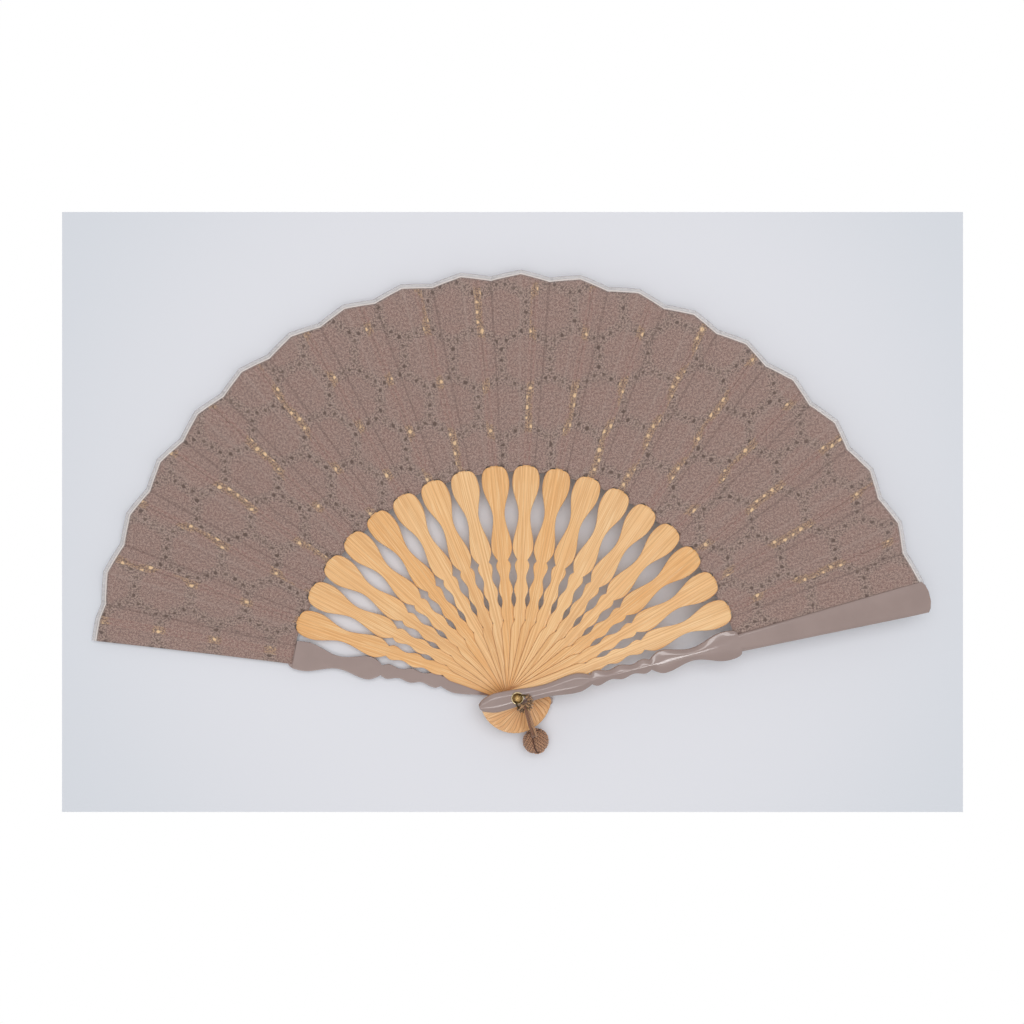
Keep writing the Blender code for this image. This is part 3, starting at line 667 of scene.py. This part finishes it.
def stick(sections, distance, azimuth, height):
    """Sections of offset and height, one at each distance, carried along a stick at its azimuth."""
    turn = math.radians(azimuth)
    out = distance[:, None]
    across, up = sections[..., 0], sections[..., 1]
    x = out * math.cos(turn) - across * math.sin(turn)
    y = out * math.sin(turn) + across * math.cos(turn)
    return stacked(x, y, up + height)


def stick_uv(sections, distance, shift):
    """Two layers for a stick: its grain's distance and offset, which is shifted so that no two
    sticks are alike, and the offset as a share of the half width, -1 to 1, with the shift."""
    round_again = np.concatenate([sections, sections[:, :1]], axis=1)[..., 0]
    share = round_again / np.abs(round_again).max(axis=1, keepdims=True)
    grain = stacked(distance[:, None] * MM, round_again * MM + shift)
    return {"UVMap": grain, "across": stacked(share, shift)}


# Each section is a flat rectangle with its corners rounded, and the tongue's sections lie on the
# pleat's slope.
tongue = stacked(np.linspace(HEAD_TIP + SHOULDER, TONGUE_TIP, 12), np.linspace(*TONGUE_HALF, 12))
rib_distance, rib_half = np.vstack([edge_curve(RIB_EDGE, steps=10), tongue]).T
on_tongue = between(rib_distance, HEAD_TIP, HEAD_TIP + SHOULDER)
rib_depth = RIB_THICKNESS + (TONGUE_THICKNESS - RIB_THICKNESS) * on_tongue
rib_tilt = np.radians(PLEAT_TILT) * on_tongue[:, None]
rib_outline = [(-rib_half, 0.0), (rib_half, 0.0), (rib_half, rib_depth), (-rib_half, rib_depth)]
flat = np.stack([stacked(across, up) for across, up in rib_outline], axis=1)
flat_across, flat_up = np.moveaxis(soften(flat, RIB_ROUNDING, steps=4), -1, 0)
rib_sections = stacked(
    flat_across * np.cos(rib_tilt) - flat_up * np.sin(rib_tilt),
    flat_across * np.sin(rib_tilt) + flat_up * np.cos(rib_tilt),
)

# The strips differ a little in tone. Their fibres run lengthwise, and the butts are browner. The
# sawn edges are darker, partly in their own tone and partly as painted shade, most of all near the
# rivet where the strips lie on each other.
BAMBOO_TONES = (linear(242, 197, 142), linear(232, 174, 108))
BAMBOO_RIPE = linear(227, 176, 117)
BAMBOO_GRAIN = linear(201, 143, 83)
BAMBOO_FIBRE = linear(250, 219, 169)
BAMBOO_BUTT = linear(194, 136, 84)
BAMBOO_EDGE = linear(166, 106, 54)
bamboo, bamboo_shader, bamboo_map = new_finish("bamboo", "UV", Roughness=0.42, Coat_Weight=0.1)
rib_across, rib_shift, _ = bamboo_map.layer("across").parts()
strip_tone = bamboo_map.node("ShaderNodeCombineXYZ", None, {0: rib_shift}).noise(1.0, 0.0)
stalk = bamboo_map.stretched(0.012, 0.16).noise(1.0, 2.0)
grain = bamboo_map.stretched(0.012, 1.5).noise(1.0, 2.0, 0.5)
fibre = bamboo_map.stretched(0.05, 3.6).noise(1.0, 4.0, 0.6)
toned = strip_tone.step(0.40, 0.60).mix(*BAMBOO_TONES)
ripened = (stalk.step(0.36, 0.64) * 0.5).mix(toned, BAMBOO_RIPE)
grained = (grain.step(0.44, 0.58) * 0.5).mix(ripened, BAMBOO_GRAIN)
pale_fibre = fibre.step(0.50, 0.64)
streaked = (pale_fibre * 0.6).mix(grained, BAMBOO_FIBRE)
rib_along = bamboo_map.parts()[0]
butt = rib_along.step(4.0, -12.0) * (0.42 - pale_fibre * 0.42)
browner_butts = butt.mix(streaked, BAMBOO_BUTT)
near_rivet = rib_along.step(50.0, 20.0)
# The sawn edges: partly their own darker tone and partly painted shade, most near the rivet where
# the strips lie on each other
edge_tone_and_shade = (abs(rib_across) + fibre * 0.10 - 0.05).step(0.90, 0.99) * (near_rivet * 0.4 + 0.45)
edge_tone_and_shade.mix(browner_butts, BAMBOO_EDGE).into(bamboo_shader, "Base Color")
(grain * 0.6 + fibre * 0.4).bump(0.00005, 0.6).into(bamboo_shader, "Normal")

for number in range(1, RIBS + 1):
    rib = f"rib_{number:02d}"
    height = FIRST_RIB_BOTTOM + (number - 1) * RIB_PITCH
    points = stick(rib_sections, rib_distance, STICKS[number], height)
    uv = stick_uv(rib_sections, rib_distance, number * GRAIN_SHIFT)
    shape = {"around": True, "capped": True, "uv": uv, "crease": 50}
    fit(f"{rib}_bamboo", points, bamboo, "bamboo", [rib], rib, **shape)


# Guards
# The two outer sticks, of thicker bamboo, carved like the ribs up to their heads and going on as
# plain blades that cover the ends of the leaf. They are sprayed with taupe lacquer and polished.
# The outside of each is all but flat, crowned by a hair up to the head, between two soft bevels.
GUARD_THICKNESS = 0.0028
GUARD_RIM = 0.0016
GUARD_BLADE_RIM = 0.0009
SEAT_START = 0.1032
SEAT_END = 0.1035
CLOTH_THICKNESS = 0.00012
CLOTH_GAP = 0.00005
CLOTH_ABOVE_RIB = TONGUE_THICKNESS + CLOTH_GAP + CLOTH_THICKNESS / 2
GAPS = np.array([8.59, *([RIB_GAP] * (RIBS - 1)), 8.7])
BLADE = (0.1053, 0.1850)
GUARD_EDGE = (
    (-0.0177, 0.0011, "corner"),
    (-0.0163, 0.0025, "corner"),
    (-0.0090, 0.0044, "round"),
    (0.0122, 0.0029, "round"),
    (0.0276, 0.0044, "round"),
    (0.0347, 0.00235, "corner"),
    (0.0374, 0.0036, "round"),
    (0.0438, 0.0022, "round"),
    (0.0489, 0.0033, "round"),
    (0.0545, 0.0022, "round"),
    (0.0598, 0.0034, "round"),
    (0.0628, 0.00235, "corner"),
    (0.0688, 0.0053, "round"),
    (0.0824, 0.0029, "round"),
    (0.0988, 0.0067, "round"),
    (BLADE[0], 0.00415, "square"),
    (BLADE[1], 0.0071, "corner"),
)
TIP_EDGE = ((0.0019, 0.0073), (0.0007, 0.0056), (0.0, 0.0029))
FRONT_TIP = 0.1965
BACK_TIP = 0.1915

# Where the waist between the notches begins and ends, and where the crown, the head and the blade
# come in
WAIST_IN = (0.031, 0.037)
WAIST_OUT = (0.070, 0.064)
CROWN_IN = (0.006, 0.016)
HEAD_IN = (0.066, 0.074)
BLADE_IN = (0.098, 0.108)

# The outside's share of the width, with what the blade adds and the waist takes away, and its
# crown's height as a share of its half width. Then the roundings of the corners, with what the head
# and the waist add to the bevels'.
FLAT, BLADE_FLAT, WAIST_FLAT = 0.38, 0.40, 0.24
CROWN = 0.03
INNER_ROUNDING, RIM_ROUNDING = 0.00035, 0.0005
BEVEL, HEAD_BEVEL, WAIST_BEVEL = 0.0008, 0.0022, 0.0014


def fold_height(gap, distance):
    """How far a fold stands off the level of its stick: the pleat's slope times the arc of a
    quarter gap."""
    return math.tan(math.radians(PLEAT_TILT)) * distance * math.sin(math.radians(gap / 4))


def seat_depth(gap, distance):
    """The depth of a guard's seat for the cloth: the fold's height, and room for the cloth."""
    return fold_height(gap, distance) + 2.5 * CLOTH_THICKNESS + 3 * CLOTH_GAP


def back_seat(distance):
    return FIRST_RIB_BOTTOM + CLOTH_ABOVE_RIB - seat_depth(GAPS[0], distance)


def front_seat(distance):
    last_rib = FIRST_RIB_BOTTOM + (RIBS - 1) * RIB_PITCH
    return last_rib + CLOTH_ABOVE_RIB + seat_depth(GAPS[-1], distance)


def guard_sections(tip, inner_face, outer_face, seat):
    """Seven-cornered sections with rounded corners: a flat inside, two low edges, two bevels, and
    an outside that rises to the middle by a small share of its width."""
    tip_edge = [(tip - short, half, "corner") for short, half in TIP_EDGE]
    edge = edge_curve((*GUARD_EDGE, *tip_edge), steps=10)
    blade = np.linspace(*BLADE, 26)[1:-1]
    distance = np.unique(np.concatenate([edge[:, 0], blade, [SEAT_START, SEAT_END]]))
    half = np.interp(distance, edge[:, 0], edge[:, 1])
    on_seat = between(distance, SEAT_START, SEAT_END)
    on_blade = between(distance, *BLADE_IN)
    on_waist = between(distance, *WAIST_IN) * between(distance, *WAIST_OUT)
    inner = inner_face + (seat(distance) - inner_face) * on_seat
    outward = math.copysign(1.0, outer_face - inner_face)
    rim = inner + outward * (GUARD_RIM + (GUARD_BLADE_RIM - GUARD_RIM) * on_seat)
    flat = half * (FLAT + BLADE_FLAT * on_blade - WAIST_FLAT * on_waist)
    crown = outward * CROWN * flat * between(distance, *CROWN_IN) * (1 - on_blade)
    across = stacked(-half, half, half, flat, 0.0, -flat, -half)
    up = stacked(inner, inner, rim, outer_face, outer_face + crown, outer_face, rim)
    bevel = BEVEL + HEAD_BEVEL * between(distance, *HEAD_IN) + WAIST_BEVEL * on_waist
    middle = LONGEST_ROUNDING * flat
    corners = (INNER_ROUNDING, INNER_ROUNDING, RIM_ROUNDING, bevel, middle, bevel, RIM_ROUNDING)
    return soften(stacked(across, up), stacked(*corners)[..., None], steps=9), distance


LACQUER = (linear(135, 112, 105), linear(142, 119, 112))
lacquer, lacquer_shader, lacquer_map = new_finish(
    "lacquer", "UV", Roughness=0.3, Coat_Weight=1.0, Coat_Roughness=0.08, Coat_IOR=1.7
)
clouds = lacquer_map.noise(0.06, 3.0)
clouds.step(0.3, 0.7).mix(*LACQUER).into(lacquer_shader, "Base Color")
lacquer_map.noise(0.35, 2.0).bump(0.00006, 0.5).into(lacquer_shader, "Normal")

BACK_GUARD_BOTTOM = 0.00095
for name, azimuth, tip, outer_face, thickness, seat in (
    ("back_guard", STICKS[0], BACK_TIP, BACK_GUARD_BOTTOM, GUARD_THICKNESS, back_seat),
    ("front_guard", STICKS[-1], FRONT_TIP, GUARD_TOP, -GUARD_THICKNESS, front_seat),
):
    sections, distance = guard_sections(tip, outer_face + thickness, outer_face, seat)
    points = stick(sections, distance, azimuth, 0.0)
    uv = stick_uv(sections, distance, azimuth)
    shape = {"around": True, "capped": True, "uv": uv, "crease": 55}
    fit(f"{name}_lacquered", points, lacquer, "lacquer", [name], name, **shape)


# Leaf
# One layer of thin taupe cotton with an eyelet-embroidered honeycomb, cut to an arc, pleated, and
# glued to the tongues of the ribs and to both guards. It is made here wedge by wedge, since each
# gap folds at its own joint.
LAST = RIBS + 1
VALLEY = 0.25
MOUNTAIN = 0.75
LIE = (2 * CLOTH_GAP + CLOTH_THICKNESS) / RIB_PITCH
LEAF_INNER = 0.1028
LEAF_INNER_ON_GUARD = 0.1037
HEAD_HALF = 0.00615
HEAD_ROUND = 0.6
CLOTH_LOW = 0.1914
CLOTH_HIGH = 0.1938
FOLD_SOFTNESS = 0.012
BEND_LINE = 0.15

# How far, in degrees, the cloth's loose ends reach past the two guards' middle lines
LEFT_OVERHANG = 2.96
LEFT_OVERHANG_INNER = 2.46
RIGHT_OVERHANG = 1.7

# Folds across a gap: the share of the gap, the height above the level as a share of the fold's own,
# and the share of the climb to the next rib
RIB_FOLDS = np.array(
    [
        (0.0, 0.0, 0.0),
        (VALLEY, -1.0, 0.0),
        (0.30, -0.8, LIE),
        (0.42, -0.32, LIE),
        (0.58, 0.32, LIE),
        (0.64, 0.56, LIE),
        (MOUNTAIN, 1.0, 1.0),
        (1.0, 0.0, 1.0),
    ]
)
ENDS = (0.0, 0.0, 0.0), (1.0, 0.0, 1.0)
BACK_GUARD_FOLDS = np.array([ENDS[0], (VALLEY, 0.0, 0.0), (MOUNTAIN, 1.0, 1.0), ENDS[1]])
FRONT_GUARD_FOLDS = np.array([ENDS[0], (VALLEY, -1.0, 0.0), (MOUNTAIN, 0.0, 1.0), ENDS[1]])

# The flat cloth: how much the pleats take up round the arc, the direction that stays put, the
# radius added, and how much further each end is drawn round
TAKE_UP = 0.9094
STILL = 90.54
FLAT_SHIFT = 6.56
END_DRAW = 0.443
END_TURN = 80


def cloth_shares(number):
    """Shares of the gap, from the left stick, at which a wedge has a line of points, with its loose
    ends."""
    shares = np.unique(np.concatenate([np.linspace(0.0, 1.0, 41), RIB_FOLDS[:, 0]]))
    if number == 1:
        shares = np.append(np.linspace(-LEFT_OVERHANG / GAPS[0], 0.0, 13)[:-1], shares)
    if number == LAST:
        shares = np.append(shares, np.linspace(1.0, 1.0 + RIGHT_OVERHANG / GAPS[-1], 7)[1:])
    return shares


def cloth_height(number, share, distance):
    """Height of the cloth: the level of its left stick, its share of the climb to the next, and its
    folds."""
    folds = {1: BACK_GUARD_FOLDS, LAST: FRONT_GUARD_FOLDS}.get(number, RIB_FOLDS)
    across, stand, climbed = folds.T
    shifts = (-FOLD_SOFTNESS, 0.0, FOLD_SOFTNESS)
    fold = sum([np.interp(share + shift, across, stand) for shift in shifts]) / len(shifts)
    climb = np.interp(share, across, climbed)
    left = FIRST_RIB_BOTTOM + (number - 2) * RIB_PITCH + CLOTH_ABOVE_RIB
    right = left + RIB_PITCH
    if number == 1:
        left = back_seat(distance) + CLOTH_GAP + CLOTH_THICKNESS / 2
    if number == LAST:
        right = front_seat(distance) - CLOTH_GAP - CLOTH_THICKNESS / 2
    return left + (right - left) * climb + fold * fold_height(GAPS[number - 1], distance)


def cloth_reach(number, share):
    """Inner and outer edge: round the ribs' heads inside, and square to the folds at the rim."""
    ribs = {1: (1,), LAST: (0,)}.get(number, (0, 1))
    away = np.min([np.abs(share - rib) for rib in ribs], axis=0)
    offset = away * math.radians(GAPS[number - 1]) * HEAD_TIP
    round_head = (HEAD_ROUND * HEAD_HALF, HEAD_HALF)
    inner = np.interp(offset, round_head, (HEAD_TIP + SHOULDER, LEAF_INNER))
    if number in (1, LAST):
        inner = np.maximum(inner, LEAF_INNER_ON_GUARD)
    middle = (CLOTH_LOW + CLOTH_HIGH) / 2
    outer = np.interp(share, (0.0, VALLEY, MOUNTAIN, 1.0), (middle, CLOTH_LOW, CLOTH_HIGH, middle))
    return inner, outer


def cloth_place(number, share, distance):
    """Points of the cloth in space, and in the flat cloth in millimetres for its pattern."""
    azimuth = STICKS[number - 1] - share * GAPS[number - 1]
    turn = np.radians(azimuth)
    height = cloth_height(number, share, distance)
    drawn = (azimuth - STILL) / TAKE_UP
    flat_turn = np.radians(90 + drawn + END_DRAW * (drawn / END_TURN) ** 2)
    flat_reach = distance * MM + FLAT_SHIFT
    flat_points = stacked(flat_reach * np.cos(flat_turn), flat_reach * np.sin(flat_turn))
    return stacked(distance * np.cos(turn), distance * np.sin(turn), height), flat_points


def bend_between(piece, number):
    """Bake a piece's place into its mesh. The valley and mountain folds of its gap are found at
    BEND_LINE from the rivet, but nothing uses them, and the piece does not fold with its gap."""
    start, end = (tuple(cloth_place(number, fold, BEND_LINE)[0]) for fold in (VALLEY, MOUNTAIN))
    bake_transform(piece)


# The honeycomb's cell, in millimetres. Its lines of eyelets are mirrored, so only those along half
# an upright side and half a slanting one are listed. CELL_X and CELL_Y are one upright's middle.
CELL_WIDTH = 25.575
CELL_HEIGHT = 21.924
CELL_X = 19.70
CELL_Y = 29.43
EYELETS = ((0.0, 0.0), (0.0, 4.67), (2.43, 8.77), (CELL_WIDTH / 4, CELL_HEIGHT / 2))
EYELET = 0.9
CLOTH_COVER = 0.86
WANDER = 0.9

lace, lace_shader, lace_map = new_finish("eyelet_cotton", "UV", Roughness=0.9, Sheen_Weight=0.1)
wander = lace_map.noise(0.16, 1.0) - 0.5
lace_x, lace_y, _ = lace_map.parts()
lace_x = lace_x - CELL_X + wander * WANDER
lace_y = lace_y - CELL_Y + wander * WANDER


def folded(value, period):
    """Distance to the nearest multiple of the period."""
    return abs(value - (value / period).math("ROUND") * period)


cell_x = folded(lace_x, CELL_WIDTH)
cell_y = folded(lace_y, 2 * CELL_HEIGHT)
far_half = cell_y.math("GREATER_THAN", CELL_HEIGHT / 2)
cell_x = cell_x + far_half * (CELL_WIDTH / 2 - cell_x * 2)
cell_y = cell_y + far_half * (CELL_HEIGHT - cell_y * 2)
cell = lace_map.node("ShaderNodeCombineXYZ", None, {0: cell_x, 1: cell_y})
neighbour = (CELL_WIDTH / 2 - EYELETS[2][0], CELL_HEIGHT - EYELETS[2][1])
to_eyelet = None
for place in (*EYELETS, neighbour):
    ends = {0: cell, 1: (*place, 0.0)}
    away = cell.node("ShaderNodeVectorMath", {"operation": "DISTANCE"}, ends, 1)
    to_eyelet = away if to_eyelet is None else to_eyelet.math("MINIMUM", away)

# Each eyelet is a little larger or smaller and rounder or squarer than the next, and has some loose
# threads.
sized = lace_map.noise(0.21, 1.0) - 0.5
ragged = lace_map.noise(0.9, 2.0) - 0.5
to_edge = to_eyelet + ragged * 0.9 + sized * 1.3
overcast = to_edge.step(EYELET + 0.1, EYELET + 0.4) * to_edge.step(2.0, 1.5)
banded = (to_eyelet + ragged * 1.6).step(3.7, 2.5)
opening = (to_edge + ragged * 0.8).step(EYELET + 0.15, EYELET - 0.40)

# The plain weave, with painted show-through: it is warmer where a tongue of bamboo lies close
# behind it
CLOTH_TONES = (linear(151, 128, 121), linear(157, 127, 119))
CLOTH_ON_TONGUE = linear(171, 127, 117)
CLOTH_WRINKLE_SHADE = linear(138, 115, 110)
WEAVE_PALE = linear(194, 168, 158)
WEAVE_DARK = linear(108, 86, 80)
weave = lace_map.noise(0.9, 3.0, 0.7)
yarns = lace_map.noise(2.6, 2.0, 0.6)
blush = lace_map.noise(0.13, 2.0, 0.6)
fold_across, fold_run, _ = lace_map.layer("fold").parts()
streaks = lace_map.layer("fold").stretched(0.9, 0.035).noise(1.0, 2.0, 0.6)
plain = blush.step(0.36, 0.64).mix(*CLOTH_TONES)
over_tongue = fold_across.step(2.2, 1.1) * streaks.step(0.36, 0.60) * 0.9
tongue_show_through = over_tongue.mix(plain, CLOTH_ON_TONGUE)
# Painted shade in thin radial streaks, as along small wrinkles of the cloth
streaked = (streaks.step(0.5, 0.75) * 0.5).mix(tongue_show_through, CLOTH_WRINKLE_SHADE)
mottled = weave.step(0.36, 0.64).mix(streaked, WEAVE_PALE)
woven = (yarns.step(0.42, 0.68) * 0.85).mix(mottled, WEAVE_DARK)

# The embroidery round the eyelets and its overcast edges, with painted shade along the valley folds
# of the pleats and a painted highlight along their mountain folds
STITCH_DARK = linear(106, 87, 82)
STITCH_PALE = (linear(190, 167, 157), linear(208, 174, 144))
OVERCAST = linear(166, 150, 138)
VALLEY_FOLD_SHADE = linear(92, 72, 68)
MOUNTAIN_FOLD_HIGHLIGHT = linear(184, 166, 157)
stitches = lace_map.noise(1.15, 3.0, 0.75)
on_tongue_cloth = fold_across.step(2.0, 1.3)
# Over a tongue the pale stitches are warmer, as painted show-through of the bamboo behind
worked = stitches.step(0.40, 0.60).mix(STITCH_DARK, on_tongue_cloth.mix(*STITCH_PALE))
embroidered = (banded * 0.78).mix(woven, worked)
rimmed = (overcast * 0.25).mix(embroidered, OVERCAST)
# Painted shade along each valley fold and a painted highlight along each mountain fold
valley = abs(fold_run - VALLEY).step(0.030, 0.010) * 0.28
mountain = abs(fold_run - MOUNTAIN).step(0.032, 0.012) * 0.2
fold_shaded_and_lit = mountain.mix(valley.mix(rimmed, VALLEY_FOLD_SHADE), MOUNTAIN_FOLD_HIGHLIGHT)

# What an eyelet shows: the shade behind the cloth, or the bamboo of a tongue
BEHIND = (linear(118, 99, 92), linear(142, 122, 114))
BAMBOO_BEHIND = linear(244, 210, 168)
through = on_tongue_cloth.mix(sized.step(-0.10, 0.12).mix(*BEHIND), BAMBOO_BEHIND)
opening.mix(fold_shaded_and_lit, through).into(lace_shader, "Base Color")
(CLOTH_COVER - opening * (1.0 - on_tongue_cloth) * 0.15).into(lace_shader, "Alpha")
relief = weave * 0.5 + yarns * 0.3 + banded * (stitches * 0.8 + 0.3)
relief.bump(0.00018, 0.7).into(lace_shader, "Normal")

# A pale film binds the rim. It is see-through, with a paler line near its inner edge, and painted
# shade greys its outer edge.
FILM_TONES = (linear(200, 195, 195), linear(226, 222, 221))
FILM_EDGE_SHADE = linear(166, 161, 160)
FILM_LINE = linear(230, 221, 216)
film, film_shader, film_map = new_finish("binding_tape", "UV", Roughness=0.35)
film_ripple = film_map.stretched(0.35, 2.0).noise(1.0, 3.0)
film_edge = film_map.layer("fold").parts()[1]
film_line = film_edge.step(0.17, 0.22) * film_edge.step(0.46, 0.34)
# Painted shade greys the tape where it folds round the outer edge
film_rim_shade = film_edge.step(0.84, 0.97)
film_tone = film_ripple.step(0.3, 0.7).mix(*FILM_TONES)
film_shaded = (film_rim_shade * 0.4).mix(film_tone, FILM_EDGE_SHADE)
film_line.mix(film_shaded, FILM_LINE).into(film_shader, "Base Color")
((film_line * 0.35 + 0.40) * (film_edge.step(0.10, 0.20) * 0.7 + 0.3)).into(film_shader, "Alpha")
film_ripple.bump(0.0002, 0.6).into(film_shader, "Normal")

# The tape lies round the rim, from TAPE_LAP over the cloth to TAPE_WIDTH beyond it and back below.
# Each point of its section is a share of that width and a share of its height off the cloth's
# middle.
TAPE_WIDTH = 0.0021
TAPE_LAP = 0.0005
TAPE_LIFT = CLOTH_THICKNESS / 2 + 0.00003
TAPE_SECTION = [(0.5, 0.9), (0.9, 0.6), (1.0, 0.0), (0.9, -0.6), (0.5, -0.9)]
tape_lap = np.array([-TAPE_LAP, *(share * TAPE_WIDTH for share, _ in TAPE_SECTION), -TAPE_LAP])
tape_lift = np.array([1.0, *(lift for _, lift in TAPE_SECTION), -1.0]) * TAPE_LIFT
tape_across = (tape_lap + TAPE_LAP) / (TAPE_WIDTH + TAPE_LAP)

for number in range(1, LAST + 1):
    share = cloth_shares(number)
    inner, outer = cloth_reach(number, share)
    down = np.linspace(0.0, 1.0, 49)[:, None]
    distance = inner + (outer - inner) * down
    drawn_in = 1 - (1 - LEFT_OVERHANG_INNER / LEFT_OVERHANG) * (1 - down)
    share = np.where(share < 0, share * drawn_in, share)
    points, flat_points = cloth_place(number, share, distance)
    from_tongue = np.minimum(np.abs(share), np.abs(1 - share)) * math.radians(GAPS[number - 1])
    uv = {"UVMap": flat_points, "fold": stacked(from_tongue * distance * MM, share)}
    cloth = fit(f"cloth_{number:02d}", points, lace, "cloth", [f"leaf_{number:02d}"], uv=uv)
    bend_between(cloth, number)
    body = cloth.modifiers.new("cloth", "SOLIDIFY")
    body.thickness = CLOTH_THICKNESS
    body.offset = 0.0

    tape_distance = outer + tape_lap[:, None]
    tape_share = np.broadcast_to(share[-1:], tape_distance.shape)
    tape_points, tape_flat = cloth_place(number, tape_share, tape_distance)
    tape_points[..., 2] += tape_lift[:, None]
    tape_uv = {"UVMap": tape_flat, "fold": stacked(tape_share, tape_across[:, None])}
    tape = fit(f"tape_{number:02d}", tape_points, film, "cloth", uv=tape_uv)
    bend_between(tape, number)


# Floor and light
# A pale grey board on white, as a table for small goods. A large square soft box near the camera
# gives the light. Three narrow strips light nothing, and only draw the highlights along lacquer and
# brass.
BOARD_CORNERS = (((-0.2079, 0.2218), (-0.2065, -0.0522)), ((0.2151, 0.2284), (0.2135, -0.0579)))
BOARD_HALF = (0.2110, 0.1395)
BOARD_MIDDLE = (0.0036, 0.0850)
BOARD_TONES = (linear(232, 234, 241), linear(223, 228, 236))
SURROUND = 2.0
SURROUND_DROP = 0.0005
SURROUND_TONE = linear(235, 235, 235)
WHITE = (1.0, 1.0, 1.0, 1.0)
board, board_shader, board_map = new_finish("board", "Object", Roughness=0.9)
board_x, board_y, _ = board_map.parts()
out_x = (board_x - BOARD_MIDDLE[0]) / BOARD_HALF[0]
out_y = (board_y - BOARD_MIDDLE[1]) / BOARD_HALF[1]
# Painted shade: the board is a little darker and bluer towards its corners, where the soft box's
# light falls off
painted_corner_shade = (out_x * out_x * 0.8 + out_y * out_y * 0.3).step(0.25, 1.1)
painted_corner_shade.mix(*BOARD_TONES).into(board_shader, "Base Color")

surround, surround_shader, _ = new_finish(
    "surround", "Object", Base_Color=SURROUND_TONE, Roughness=0.9
)
lit = Wire(surround_shader.outputs[0])
seen = lit.node("ShaderNodeLightPath", output="Is Camera Ray")
glow = lit.node("ShaderNodeEmission", None, {"Color": WHITE, "Strength": 1.0})
pure = lit.node("ShaderNodeMixShader", None, {0: seen, 1: lit, 2: glow})
pure.into(surround.node_tree.nodes["Material Output"], "Surface")

square = np.array([[(-1, 1), (-1, -1)], [(1, 1), (1, -1)]])
for name, corners, height, finish in (
    ("board", np.array(BOARD_CORNERS), 0.0, board),
    ("surround", square * SURROUND, -SURROUND_DROP, surround),
):
    ground_points = stacked(corners[..., 0], corners[..., 1], height)
    ground = bpy.data.objects.new(name, surface(name, ground_points[::-1]))
    ground.data.materials.append(finish)
    bpy.context.scene.collection.objects.link(ground)

SKY = {"Color": (1.0, 0.975, 0.955, 1.0), "Strength": 0.42}
world = bpy.context.scene.world or bpy.data.worlds.new("studio")
bpy.context.scene.world = world
world.use_nodes = True
background = world.node_tree.nodes["Background"]
for socket, value in SKY.items():
    background.inputs[socket].default_value = value
sky = Wire(background.outputs[0])
rays = sky.node("ShaderNodeLightPath").socket.node.outputs
direct = Wire(rays["Is Camera Ray"]).math("MAXIMUM", Wire(rays["Is Glossy Ray"]))
direct = direct.math("MAXIMUM", Wire(rays["Is Transmission Ray"]))
white = sky.node("ShaderNodeBackground", None, {"Color": WHITE, "Strength": 1.0})
both = sky.node("ShaderNodeMixShader", None, {0: direct, 1: sky, 2: white})
both.into(world.node_tree.nodes["World Output"], "Surface")

# Each lamp: its size, its place, its turn about Z, its power in watts, and whether it only shines
LAMPS = (
    ("soft_box", 1.1, 1.1, (0.02, 0.12, 1.2), 0.0, 9.15, False),
    ("far_strip", 0.9, 0.16, (-0.2, 0.72, 1.1), 0.0, 1.4, True),
    ("near_strip", 0.9, 0.25, (-0.2, -0.52, 1.1), 0.0, 2.9, True),
    ("top_strip", 0.17, 0.04, (0.256, -0.094, 1.1), 1.16, 0.16, True),
)
FAN_MIDDLE = 0.08
for name, width, length, place, swing, power, shines in LAMPS:
    light = bpy.data.lights.new(name, "AREA")
    light.shape = "RECTANGLE"
    light.size = width
    light.size_y = length
    light.energy = power
    lamp = bpy.data.objects.new(name, light)
    lamp.location = place
    lamp.rotation_euler = (-math.atan2(place[1] - FAN_MIDDLE, place[2]), 0.0, swing)
    lamp.visible_camera = False
    lamp.visible_glossy = shines
    lamp.visible_diffuse = not shines
    bpy.context.scene.collection.objects.link(lamp)
